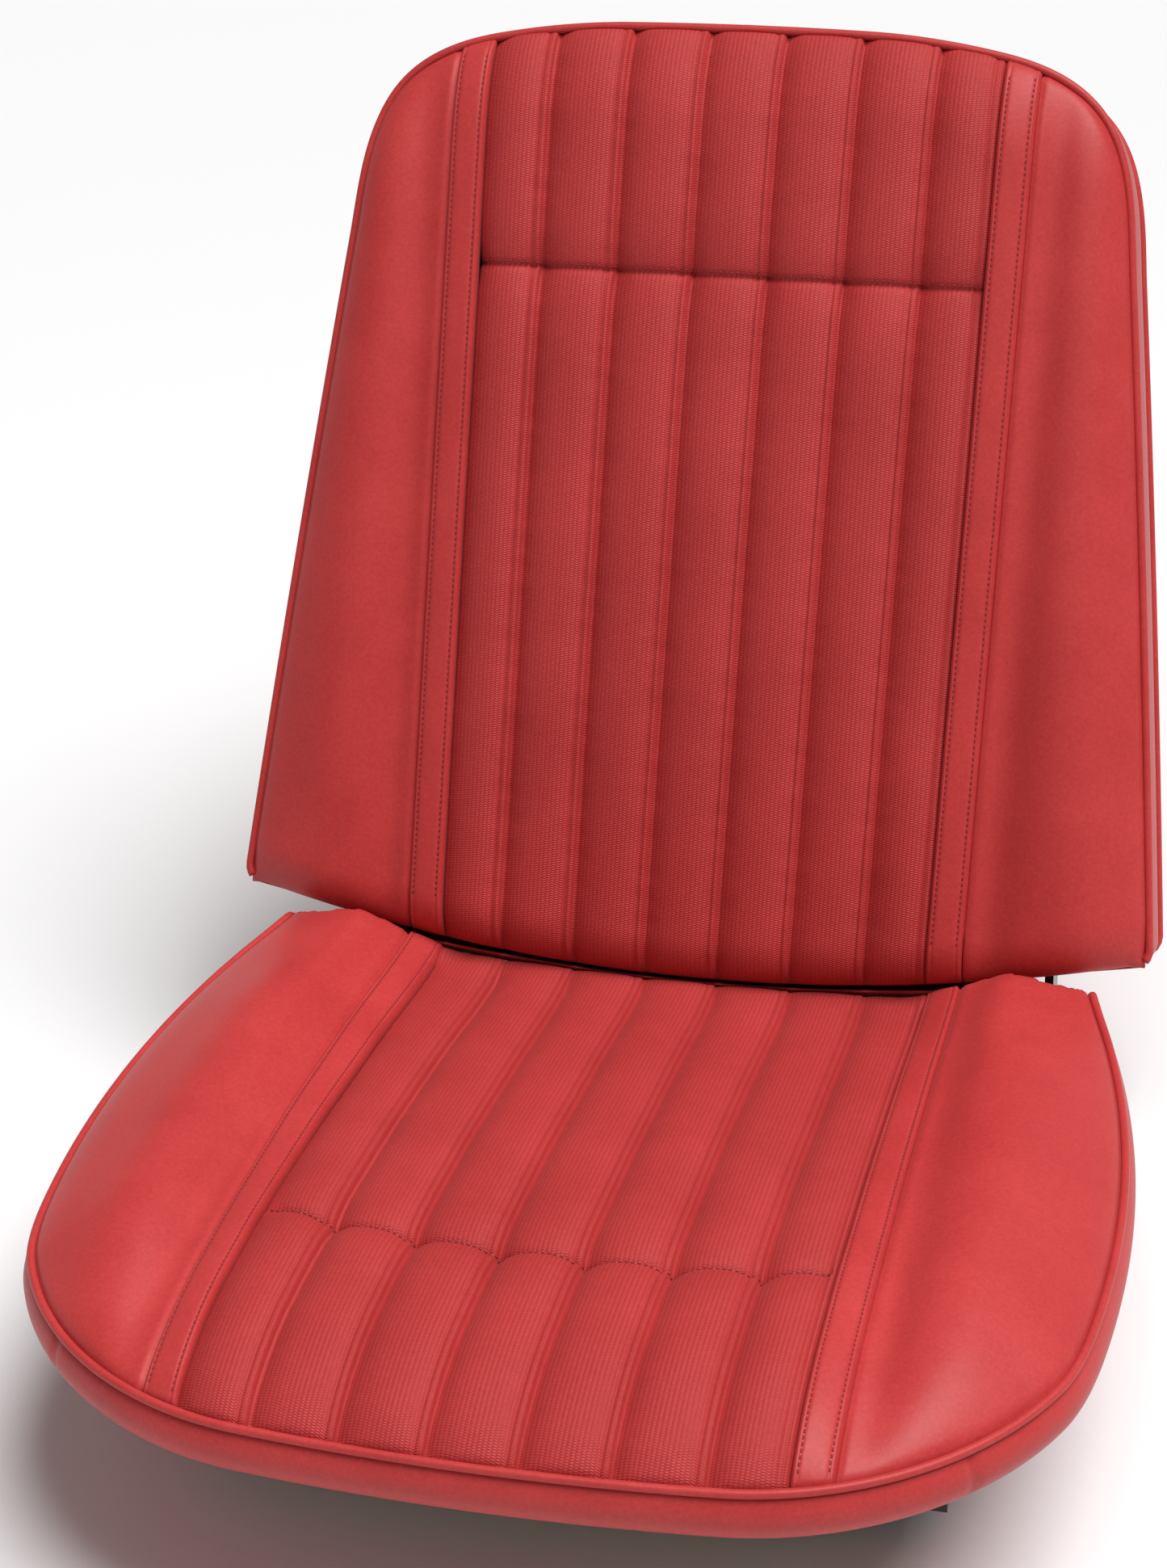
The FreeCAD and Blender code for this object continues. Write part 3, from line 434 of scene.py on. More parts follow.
# %% Cushion insert
def cushion_insert():
    """Pleated ribbed panel: columns follow the seams, rows follow the bowed front and the stitch line."""
    half = SEAM_HALF
    columns = pleat_columns(half)
    lower, upper = np.linspace(0, 1, 62), np.linspace(0, 1, 150)[1:]
    near = np.array([0.8, 1.7, 2.8, 4.2, 6.0]) / 140
    lower = np.unique(np.concatenate([lower, 1 - near]))
    upper = np.unique(np.concatenate([upper, near * 0.4]))
    xs = columns[None, :]
    start, stitch = front_line(xs) + 1.5, stitch_line(xs)
    y = np.concatenate([start + lower[:, None] * (stitch - start),
                        stitch + upper[:, None] * (REAR - 2 - stitch)])
    x = xs * seam_squeeze(y)
    wide = np.broadcast_to(xs, y.shape)
    ends = smooth((half + 4 - np.abs(wide)) / 14)
    relief = pleat_profile(wide, half) + pinch(wide, y - stitch) * ends + pucker(wide, y)
    z = cushion_height(x, y) + relief * (1 - 0.8 * smooth((y - 112) / 20))
    front_fall = smooth((y - start) / 16)
    z = z - (1 - front_fall) * 0.6
    grid = np.stack([x, y, z], -1)
    steps = np.linalg.norm(np.diff(grid[:, len(columns) // 2], axis=0), axis=1)
    run = np.concatenate([[0], np.cumsum(steps)])
    uv = np.stack([wide, np.broadcast_to(run[:, None], y.shape)], -1)
    grid, uv = add_rear_wall(grid, uv)
    return grid, uv


grid, uv = cushion_insert()
insert_top = grid.copy()
cushion_insert_piece = padded_piece("cushion_insert", *turn_down(grid, uv, 12.0, (0, 0, 1)))
print("insert", grid.shape, "z", grid[..., 2].min().round(1), grid[..., 2].max().round(1))


# %% [markdown]
# Each band is a folded strip of plain vinyl laid over the seam between the pleats and the bolster. Both
# of its edges are folded and top-stitched, which leaves a lip, a shallow stitch groove and a flat middle.


# %% Bands
def band_profile(t, width=20.0):
    """Height across a band: rolled edges, a groove 3 mm in from each edge and a flat middle."""
    from_edge = np.minimum(t, 1 - t) * width
    edge = 2.2 * (1 - np.exp(-((from_edge / 1.1) ** 1.4)))
    groove = -0.55 * np.exp(-(((from_edge - 3.0) / 0.9) ** 2))
    lip = 0.35 * np.exp(-(((from_edge - 1.5) / 0.8) ** 2))
    return edge + groove + lip - 1.6


NEAR_FOLD = np.array([0.03, 0.06, 0.09, 0.12, 0.15, 0.18, 0.21])
BAND_COLUMNS = np.unique(np.concatenate([np.linspace(0, 1, 17), NEAR_FOLD, 1 - NEAR_FOLD]))


def cushion_band():
    """A strip 20 mm wide that follows the seam from the front welt to the foot at the rear."""
    across = SEAM_HALF + 20 * BAND_COLUMNS[None, :]
    start = front_line(across) + 1.5
    rows = np.linspace(0, 1, 240)[:, None]
    y = start + rows * (REAR - 2 - start)
    x = across * seam_squeeze(y)
    z = cushion_height(x, y) + band_profile(np.broadcast_to(BAND_COLUMNS[None], y.shape))
    grid = np.stack([x, y, z], -1)
    uv = np.stack([np.broadcast_to(across, y.shape), y], -1)
    return add_rear_wall(grid, uv)


# %% Bolsters
def cushion_bolster(m=170, n=64):
    """A Coons patch from the band's seam out to the welt, raised to the cushion's height."""
    seam_y = np.linspace(float(front_line(171.0)) + 1.5, REAR - 2, m)
    left = np.stack([171 * seam_squeeze(seam_y), seam_y], -1)
    edge = CUSHION_EDGE - 1.5 * edge_normals(CUSHION_EDGE)
    bottom = between(edge, left[0], (252, -230), n)
    right = between(edge, (252, -230), (226, 158), m)
    top = between(edge, left[-1], (226, 158), n)
    left[0], left[-1] = bottom[0], top[0]
    u = smooth(np.linspace(0, 1, n)) * 0.35 + np.linspace(0, 1, n) * 0.65
    patch = coons(bottom, top, left, right)
    even = np.linspace(0, 1, n)
    patch = np.stack([np.stack([np.interp(u, even, row[:, k]) for k in (0, 1)], -1) for row in patch])
    x, y = patch[..., 0], patch[..., 1]
    z = cushion_height(x, y)
    wide = x / seam_squeeze(y)
    z = z - 2.4 * np.exp(-(((wide - 171) / 2.6) ** 2))
    distance = edge_distance(x, y, CUSHION_RIM)
    z = z - 1.6 * np.exp(-(((distance - 1.5) / 1.6) ** 2))
    grid = np.stack([x, y, z], -1)
    uv = np.stack([x, y], -1)
    return add_rear_wall(grid, uv)


def edge_normals(path):
    """Outward unit normals of a plan outline that runs from the front round the right side."""
    run = np.gradient(path, axis=0)
    run /= np.linalg.norm(run, axis=1, keepdims=True)
    return np.stack([run[:, 1], -run[:, 0]], -1)


side_pieces = {}
cushion_sides = (("cushion_band", cushion_band, 9.0), ("cushion_bolster", cushion_bolster, 10.0))
for label, builder, depth in cushion_sides:
    grid, uv = turn_down(*builder(), depth, (0, 0, 1))
    side_pieces[label + "_right"] = padded_piece(label + "_cover_right", grid, uv)
    side_pieces[label + "_left"] = padded_piece(label + "_cover_left", mirrored(grid), uv, flip=True)
    print(label, grid.shape)

# %% [markdown]
# The boxing strip hangs from the welt, bulges a little over the foam's edge, and turns under to the
# frame. The welt is piping: a cord in a folded strip of the same vinyl, sewn into the seam.


# %% Cushion boxing and welt
def full_edge(half):
    """Both halves of an outline in one run: rear left, front, rear right."""
    mirror = (half * np.array([-1.0, 1.0]))[::-1]
    return np.concatenate([mirror[:-1], half])


def cushion_boxing(rows=22):
    """Rows run from foot to welt: a drop at the frame, a shallow underside, a bulging upright band."""
    top, foot = full_edge(CUSHION_RIM), full_edge(FOOT_RIM)
    out = edge_normals(top)
    head = welt_height(top[:, 1]) - 1.0
    hem = np.maximum(head - 25, FOOT_LEVEL + 14)
    s = np.linspace(0, 1, rows)[:, None]
    rise = np.clip((s - 0.45) / 0.55, 0, 1)
    share = 1 - np.clip(s / 0.45, 0, 1)
    inward = 1.4 * share
    width = np.linalg.norm(top - foot, axis=1)
    shallow = hem - 0.58 * width * np.minimum(inward, 1)
    steep = smooth((inward - 0.85) / 0.55)
    z = np.where(share > 0, shallow * (1 - steep) + FOOT_LEVEL * steep, hem + (head - hem) * rise)
    bulge = 6.5 * np.sin(np.pi * np.clip(rise * 0.9 + 0.1, 0, 1)) ** 0.8 * (1 - share) ** 2
    plan = top[None] + (foot - top)[None] * inward[..., None] + bulge[..., None] * out[None]
    run = np.concatenate([[0], np.cumsum(np.linalg.norm(np.diff(top, axis=0), axis=1))])
    for corner in (np.array([228.0, -268.0]), np.array([-228.0, -268.0])):
        at = run[np.argmin(((top - corner) ** 2).sum(1))]
        groove = 1.8 * np.exp(-(((run - at) / 2.2) ** 2))
        plan -= (groove[None, :, None] * smooth(rise * 3)[..., None]) * out[None]
    grid = np.concatenate([plan, z[..., None]], -1)
    uv = np.stack(np.broadcast_arrays(run[None, :], 70 * s), -1)
    return grid, uv


grid, uv = cushion_boxing()
cushion_boxing_piece = sheet_piece("cushion_boxing", grid, uv)
welt_plan = resample(full_edge(CUSHION_RIM), 620)
welt_plan = welt_plan + 0.6 * edge_normals(welt_plan)
welt_path = np.concatenate([welt_plan, (welt_height(welt_plan[:, 1]) + 0.4)[:, None]], -1)
cushion_welt_piece = tube_piece("cushion_piping", welt_path, 2.4)
welt_length = float(np.linalg.norm(np.diff(welt_path, axis=0), axis=1).sum())
print("boxing", grid.shape, "welt length mm", round(welt_length))

# %% [markdown]
# Under the cover lies a moulded foam pad. Only its underside is ever seen, between the springs, so it is
# a plain closed slab: rings of points from the middle out to the foot of the cover, top and bottom.


# %% Cushion foam
def foam_slab(rings=24, low=62.5, high=84.0):
    """Rings shrink towards the middle on both faces; a slow ripple keeps the faces from being dead flat."""
    loop = resample(np.concatenate([full_edge(FOOT_RIM), full_edge(FOOT_RIM)[:1]]), 200)[:-1]
    centre = np.array([0.0, -44.0])
    share = np.concatenate([np.linspace(0.001, 0.94, rings), [0.965, 0.965], np.linspace(0.94, 0.001, rings)])
    plan = centre + share[:, None, None] * (loop - centre)
    ripple = 0.5 * np.sin(plan[..., 0] / 17) * np.sin(plan[..., 1] / 21)
    level = np.concatenate([np.full(rings, low), [low + 3, high - 3], np.full(rings, high)])
    points = np.concatenate([plan, (level[:, None] + ripple * np.sign(level[:, None] - 70))[..., None]], -1)
    return points


slab = foam_slab()
ring_count, around = slab.shape[:2]
faces = grid_faces(ring_count, around, flip=False, wrap=True)
faces += [list(range(around))[::-1], [(ring_count - 1) * around + j for j in range(around)]]
cushion_foam_piece = new_object("cushion_foam_pad", slab.reshape(-1, 3), faces)
print("foam slab", slab.shape)

# %% [markdown]
# The backrest is drawn upright, as if pinned to a board: x across, v up and d for how far a point stands
# behind the welt. One turn about the seat then leans everything back. Its front rolls under at the
# bottom, with no welt there, so the piping runs up one side, over the top and down the other.


# %% Backrest surface
def leaned(x, d, v):
    """Turns the upright drawing into the row frame: depth d goes back, height v goes up the slope."""
    y = BASE_Y + d * math.cos(LEAN) + v * math.sin(LEAN)
    z = BASE_Z - d * math.sin(LEAN) + v * math.cos(LEAN)
    return np.stack(np.broadcast_arrays(x, y, z), -1)


def back_seam(v):
    """Half distance between the inner seams of the bands at height v."""
    return 143 + 5 * v / BACK_TOP


def back_front(x, v):
    """How far the cover stands ahead of the welt: a broad crown, fuller near each bolster's outer third."""
    side = BACK_EDGE[WELT_START + 4:]
    distance = edge_distance(np.abs(x), v, side)
    fall = (1 - (1 - np.clip(distance / 52, 0, 1)) ** 2) ** 0.62
    wide = np.abs(x) * 143 / back_seam(v)
    ridge = 5.0 * np.exp(-(((wide - 212) / 24) ** 2)) * smooth((v + 30) / 120)
    hollow = -5.5 * np.exp(-(((wide - 176) / 14) ** 2))
    belly = 2.0 * np.cos(np.clip(x / 160, -1, 1) * np.pi / 2) * np.sin(np.pi * np.clip(v / BACK_TOP, 0, 1))
    return (19.0 + ridge + hollow + belly) * fall


def roll_under(x, d, rows=12, depth=3.0, rise=26.0):
    """Rows that roll the front under: a quarter ellipse from the underside round to the front."""
    angle = np.linspace(0, np.pi / 2, rows)[:, None]
    bottom = back_bottom(x)
    v = bottom + rise * (1 - np.cos(angle))
    forward = d * np.sin(angle)
    under = np.linspace(depth, 1, 3)[:, None]
    v = np.concatenate([bottom + 0.2 + 0 * under, v])
    forward = np.concatenate([-under + 0 * d, forward])
    return v, -forward


# %% Backrest insert
def back_top(x):
    """Height of the top edge over the middle and the shoulders."""
    top = BACK_EDGE[BACK_EDGE[:, 1] > 400][::-1]
    return np.interp(np.abs(x), top[:, 0], top[:, 1])


def backrest_insert():
    """Pleated panel with its cross stitching 375 mm up the slope."""
    half, turn = 143.0, 0.73
    columns = pleat_columns(half, BACK_PLEAT)[None, :]
    rows = row_shares(turn, 150, 62)
    v0, d0 = roll_under(columns, back_front(columns, back_bottom(columns) + 26))
    start, top = back_bottom(columns) + 26, back_top(columns) - 1.5
    share = rows[1:, None]
    v1 = np.where(share <= turn, start + share / turn * (STITCH_V - start),
                  STITCH_V + (share - turn) / 0.27 * (top - STITCH_V))
    v = np.concatenate([v0, v1])
    x = columns * back_seam(np.maximum(v, 0)) / 143
    d = np.concatenate([d0, -back_front(x[len(v0):], v1)])
    wide = np.broadcast_to(columns, v.shape)
    relief = pleat_profile(wide, half, BACK_PLEAT) + pinch(wide, v - STITCH_V, BACK_PLEAT) * (v > 200)
    relief += pucker(wide, v, BACK_PLEAT)
    relief *= smooth((np.arange(len(v)) - 2) / 6)[:, None]
    grid = leaned(x, d - relief, v)
    steps = np.linalg.norm(np.diff(grid[:, columns.size // 2], axis=0), axis=1)
    run = np.concatenate([[0], np.cumsum(steps)])
    uv = np.stack([wide, np.broadcast_to(run[:, None], v.shape)], -1)
    return grid, uv


FORWARD = (0.0, -math.cos(LEAN), math.sin(LEAN))
grid, uv = backrest_insert()
back_insert_top = grid.copy()
backrest_insert_piece = padded_piece("backrest_insert", *turn_down(grid, uv, 12.0, FORWARD))
print("backrest insert", grid.shape)


# %% Backrest bands and bolsters
def backrest_band():
    """The strip beside the backrest's pleats."""
    columns = 20 * BAND_COLUMNS[None, :]
    rows = np.linspace(0, 1, 240)
    x0 = 143 + columns
    v0, d0 = roll_under(x0, back_front(x0, back_bottom(x0) + 26))
    start, top = back_bottom(x0) + 26, back_top(x0) - 1.5
    v = np.concatenate([v0, start + rows[1:, None] * (top - start)])
    x = back_seam(np.maximum(v, 0)) + columns
    d = np.concatenate([d0, -back_front(x[len(v0):], v[len(v0):])])
    relief = band_profile(np.broadcast_to(BAND_COLUMNS[None], v.shape))
    relief = relief * smooth((np.arange(len(v)) - 2) / 6)[:, None]
    return leaned(x, d - relief, v), np.stack([x, v], -1)


def backrest_bolster(m=150, n=60):
    """Roll-under rows below a Coons patch that runs out to the welt at the side and shoulder."""
    edge = BACK_EDGE.copy()
    edge = edge - 0.8 * edge_normals(edge)
    top_point = (back_seam(BACK_TOP) + 20, float(back_top(back_seam(BACK_TOP) + 20)) - 1.5)
    low_x = np.linspace(163.5, 264.8, n)
    bottom = np.stack([low_x, back_bottom(low_x) + 26], -1)
    seam_v = np.linspace(bottom[0, 1], top_point[1], m)
    left = np.stack([back_seam(seam_v) + 20, seam_v], -1)
    right = between(edge, bottom[-1], (207, 470), m)
    top = between(edge, top_point, (207, 470), n)
    left[0], left[-1], right[0], right[-1] = bottom[0], top[0], bottom[-1], top[-1]
    patch = coons(bottom, top, left, right)
    v0, d0 = roll_under(low_x[None], back_front(low_x[None], bottom[None, :, 1]))
    v0, d0 = v0[3:-1], d0[3:-1]
    v = np.concatenate([v0, patch[..., 1]])
    x = np.concatenate([np.broadcast_to(low_x, v0.shape), patch[..., 0]])
    d = np.concatenate([d0, -back_front(patch[..., 0], patch[..., 1])])
    wide = x - back_seam(np.maximum(v, 0)) - 20
    d = d + 2.2 * np.exp(-((wide / 2.6) ** 2))
    distance = edge_distance(x, v, BACK_EDGE[WELT_START + 4:])
    d = d + 1.4 * np.exp(-(((distance - 1.5) / 1.6) ** 2))
    return leaned(x, d, v), np.stack([x, v], -1)


backrest_sides = (("backrest_band", backrest_band, 7.0), ("backrest_bolster", backrest_bolster, 4.0))
for label, builder, depth in backrest_sides:
    grid, uv = turn_down(*builder(), depth, FORWARD)
    side_pieces[label + "_right"] = padded_piece(label + "_cover_right", grid, uv)
    side_pieces[label + "_left"] = padded_piece(label + "_cover_left", mirrored(grid), uv, flip=True)
    print(label, grid.shape)


# %% Backrest boxing, piping and rear panel
def backrest_boxing(columns=26):
    """A strip from welt to welt: sides and top bulge 3 mm, the bottom is an arc about the hinge line."""
    loop = full_edge(BACK_EDGE)
    out = edge_normals(loop)
    share = np.linspace(0, 1, columns)[:, None]
    depth = 0.5 + share * (BACK_DEPTH - 1.5)
    across = np.abs(loop[:, 0])
    radius = sweep_radius(across)[None] + 0.9
    arc = HINGE_V - np.sqrt(np.maximum(radius**2 - (depth - HINGE_D) ** 2, 0))
    underside = (out[:, 1] < -0.9) * (1 - smooth((across - 188) / 12)) * (depth < HINGE_D + 44)
    swell = np.maximum(loop[:, 1][None] - arc, 0) * underside
    bulge = 3.0 * np.sin(np.pi * share) * (out[:, 1] > -0.5) - 0.8
    plan = loop[None] + bulge[..., None] * out[None]
    plan[..., 1] -= swell
    grid = leaned(plan[..., 0], np.broadcast_to(depth, plan.shape[:2]), plan[..., 1])
    run = np.concatenate([[0], np.cumsum(np.linalg.norm(np.diff(loop, axis=0), axis=1))])
    arms = (np.abs(plan[..., 0]) > 201) & (np.abs(plan[..., 0]) < 216) & (plan[..., 1] < 30)
    arms &= (depth > 3) & (depth < 64)
    return grid, np.stack(np.broadcast_arrays(run[None], depth), -1), arms


def backrest_panel(rows=90, columns=90):
    """The rear panel: the outline filled from the middle out and crowned a few millimetres."""
    loop = resample(full_edge(BACK_EDGE), 4 * columns)
    centre = np.array([0.0, 235.0])
    share = (np.linspace(0, 1, rows) ** 0.8)[:, None, None]
    inner = loop - 2.0 * edge_normals(loop)
    plan = centre + share * (inner - centre)
    bow = 4.0 * (1 - share[..., 0] ** 2.4) - 1.5 * np.exp(-(((share[..., 0] - 1) / 0.012) ** 2))
    depth = np.broadcast_to(BACK_DEPTH - 2.0 + bow, plan.shape[:2])
    return leaned(plan[..., 0], depth, plan[..., 1]), plan


grid, uv, arms = backrest_boxing()
backrest_boxing_piece = sheet_piece("backrest_side_boxing", grid, uv, flip=True, opening=arms)
grid, uv = backrest_panel()
backrest_panel_piece = sheet_piece("backrest_back_cover", grid, uv, flip=True, thickness=2.5)


def back_welt(points, depth, name):
    plan = resample(points, 560)
    plan = plan + 0.6 * edge_normals(plan)
    return tube_piece(name, leaned(plan[:, 0], np.full(len(plan), depth), plan[:, 1]), 2.4)


upper = BACK_EDGE[WELT_START:]
loop_up = np.concatenate([upper[:-1], (upper * np.array([-1.0, 1.0]))[::-1]])
front_piping = back_welt(loop_up, -0.5, "backrest_front_piping")
rear_piping = back_welt(full_edge(BACK_EDGE), BACK_DEPTH - 2.0, "backrest_rear_piping")
print("backrest shell done")

# %% [markdown]
# Seams read from across a room by their stitches, so these are modelled: each one is a short grain of
# thread lying in its groove. A row is one piece, made by copying a small spindle along the seam.


# %% Stitches
def stitch_row(name, path, normal, pitch=3.4, length=2.5, radius=0.42, lift=0.15):
    """Spindles of thread along a path: each has six sides and pointed ends."""
    run = np.concatenate([[0], np.cumsum(np.linalg.norm(np.diff(path, axis=0), axis=1))])
    at = np.arange(pitch, run[-1] - pitch, pitch)
    centre = np.stack([np.interp(at, run, path[:, k]) for k in range(3)], -1)
    ahead = np.stack([np.interp(at + 0.5, run, path[:, k]) for k in range(3)], -1) - centre
    ahead /= np.linalg.norm(ahead, axis=1, keepdims=True)
    up = np.broadcast_to(np.array(normal, float), centre.shape)
    side = np.cross(ahead, up)
    side /= np.linalg.norm(side, axis=1, keepdims=True)
    up = np.cross(side, ahead)
    angle = np.linspace(0, 2 * np.pi, 6, endpoint=False)
    stations = [(-0.5, 0.0), (-0.32, 1.0), (0.32, 1.0), (0.5, 0.0)]
    rings = []
    for place, size in stations:
        turns = 1 if size == 0 else 6
        spread = np.stack([np.cos(angle[:turns]), np.sin(angle[:turns])], -1) * size * radius
        rings.append(centre[:, None] + ahead[:, None] * place * length + side[:, None] * spread[None, :, :1]
                     + up[:, None] * (spread[None, :, 1:] + lift))
    points = np.concatenate(rings, 1)
    count = points.shape[1]
    faces = []
    for j in range(6):
        k = (j + 1) % 6
        faces += [[0, 1 + k, 1 + j], [1 + j, 1 + k, 7 + k, 7 + j], [7 + j, 7 + k, 13]]
    every = [[i * count + v for v in face] for i in range(len(centre)) for face in faces]
    return new_object(name, points.reshape(-1, 3), every)


def on_cushion(x, y, rise):
    """Points lying on the cushion's cover."""
    return np.stack([x, y, cushion_height(x, y) + rise], -1)


stitches = []
for side, sign in (("left", -1), ("right", 1)):
    for place, inset in (("inner", 3.0), ("outer", 17.0)):
        across = SEAM_HALF + inset
        y = np.linspace(float(front_line(across)) + 4, 150, 260)
        x = across * seam_squeeze(y)
        path = on_cushion(x, y, 0.05) * np.array([sign, 1, 1])
        stitches.append((stitch_row(f"cushion_stitch_{place}_{side}", path, (0, 0, 1)), "seat_frame"))
        v = np.linspace(2, float(back_top(160.0)) - 5, 260)
        x = back_seam(v) + inset
        path = leaned(x, -back_front(x, v) - 0.05, v) * np.array([sign, 1, 1])
        stitches.append((stitch_row(f"backrest_stitch_{place}_{side}", path, FORWARD), "backrest"))


row = int(np.argmin(np.abs(insert_top[:, insert_top.shape[1] // 2, 1] - stitch_line(0.0))))
path = insert_top[row] + [0, 0, 0.5]
stitches.append((stitch_row("cushion_cross_stitch", path, (0, 0, 1), 3.2, 2.0, 0.5), "seat_frame"))
target = leaned(0.0, -20.0, STITCH_V)
row = int(np.argmin(np.linalg.norm(back_insert_top[:, back_insert_top.shape[1] // 2] - target, axis=1)))
path = back_insert_top[row] + 0.5 * np.array(FORWARD)
stitches.append((stitch_row("backrest_cross_stitch", path, FORWARD, 3.2, 2.0, 0.5), "backrest"))
print("stitch rows", len(stitches))

# %% [markdown]
# Vinyl is a coloured skin with a moulded grain. Close up it is a field of small pebbles with painted shade
# in the valleys between them, mottled by handling; from further off it has a soft, wide highlight. The ribbed
# insert carries an embossed weave: upright rows of short bars, stepped half a bar from row to row, with
# painted shade in the grooves between them.


# %% Material helpers
def material(name):
    """An empty node material with its Principled shader."""
    item = bpy.data.materials.new(name)
    item.use_nodes = True
    return item, item.node_tree.nodes, item.node_tree.links, item.node_tree.nodes["Principled BSDF"]


def node(tree, kind, **inputs):
    """A node with some of its inputs set by name."""
    item = tree.new(kind)
    for key, value in inputs.items():
        item.inputs[key].default_value = value
    return item


def math_node(nodes, links, operation, a, b=None, clamp=False):
    """One arithmetic step between sockets or numbers."""
    item = nodes.new("ShaderNodeMath")
    item.operation = operation
    item.use_clamp = clamp
    for socket, value in zip(item.inputs, (a, b)):
        if value is None:
            continue
        if isinstance(value, (int, float)):
            socket.default_value = value
        else:
            links.new(value, socket)
    return item.outputs[0]


def ramp(nodes, links, source, stops):
    """A colour ramp fed by a socket; stops are (place, colour)."""
    item = nodes.new("ShaderNodeValToRGB")
    links.new(source, item.inputs[0])
    elements = item.color_ramp.elements
    for index, (place, colour) in enumerate(stops):
        element = elements[index] if index < 2 else elements.new(place)
        element.position = place
        element.color = (*colour, 1)
    return item.outputs[0]


def mix_colour(nodes, links, factor, a, b, blend="MIX"):
    """Mixes two colours by a factor socket or number."""
    item = nodes.new("ShaderNodeMix")
    item.data_type = "RGBA"
    item.blend_type = blend
    for socket, value in ((item.inputs[0], factor), (item.inputs[6], a), (item.inputs[7], b)):
        if isinstance(value, (int, float)):
            socket.default_value = value
        elif isinstance(value, tuple):
            socket.default_value = (*value, 1)
        else:
            links.new(value, socket)
    return item.outputs[2]


RED = (0.505, 0.036, 0.036)
RED_DEEP = (0.33, 0.018, 0.018)
RED_LIGHT = (0.63, 0.062, 0.060)


def mottled_red(nodes, links, place, scale=1.0):
    """Base colour: broad clouds between deep and light red, with a finer speckle over them."""
    clouds = node(nodes, "ShaderNodeTexNoise", Scale=14 * scale, Detail=6.0, Roughness=0.6)
    speckle = node(nodes, "ShaderNodeTexNoise", Scale=420 * scale, Detail=3.0, Roughness=0.65)
    for texture in (clouds, speckle):
        links.new(place, texture.inputs["Vector"])
    broad = ramp(nodes, links, clouds.outputs["Fac"], [(0.3, RED_DEEP), (0.75, RED_LIGHT)])
    fine = ramp(nodes, links, speckle.outputs["Fac"], [(0.25, RED_DEEP), (0.8, RED_LIGHT)])
    base = mix_colour(nodes, links, 0.42, RED, broad)
    return mix_colour(nodes, links, 0.28, base, fine), clouds.outputs["Fac"]


def add_bump(nodes, links, height, strength, distance, normal=None):
    item = node(nodes, "ShaderNodeBump", Strength=strength, Distance=distance)
    links.new(height, item.inputs["Height"])
    if normal is not None:
        links.new(normal, item.inputs["Normal"])
    return item.outputs["Normal"]


def plain_vinyl(name="red_vinyl_plain"):
    """Grained vinyl: pebbles from a smooth Voronoi with painted shade darkening the valleys between them,
    hair-fine creases from stretched noise.
    """
    item, nodes, links, shader = material(name)
    place = nodes.new("ShaderNodeTexCoord").outputs["Object"]
    colour, clouds = mottled_red(nodes, links, place)
    pebble = node(nodes, "ShaderNodeTexVoronoi", Scale=620.0)
    pebble.feature = "SMOOTH_F1"
    crease = node(nodes, "ShaderNodeTexNoise", Scale=160.0, Detail=5.0, Roughness=0.7, Distortion=1.4)
    swell = node(nodes, "ShaderNodeTexNoise", Scale=26.0, Detail=3.0)
    for texture in (pebble, crease, swell):
        links.new(place, texture.inputs["Vector"])
    # Painted shade: the colour is mixed towards RED_DEEP in the valleys between the grain's pebbles.
    depths = [(0.25, (0.0, 0.0, 0.0)), (0.75, (1.0, 1.0, 1.0))]
    painted_valley_shade = ramp(nodes, links, pebble.outputs["Distance"], depths)
    colour = mix_colour(nodes, links, math_node(nodes, links, "MULTIPLY", painted_valley_shade, 0.22), colour, RED_DEEP)
    links.new(colour, shader.inputs["Base Color"])
    rough = nodes.new("ShaderNodeMapRange")
    rough.inputs["To Min"].default_value = 0.40
    rough.inputs["To Max"].default_value = 0.56
    links.new(clouds, rough.inputs["Value"])
    links.new(rough.outputs[0], shader.inputs["Roughness"])
    shader.inputs["Specular IOR Level"].default_value = 0.3
    shader.inputs["Sheen Weight"].default_value = 0.03
    normal = add_bump(nodes, links, swell.outputs["Fac"], 0.25, 0.0012)
    normal = add_bump(nodes, links, crease.outputs["Fac"], 0.30, 0.0003, normal)
    normal = add_bump(nodes, links, pebble.outputs["Distance"], 0.35, 0.00012, normal)
    links.new(normal, shader.inputs["Normal"])
    return item


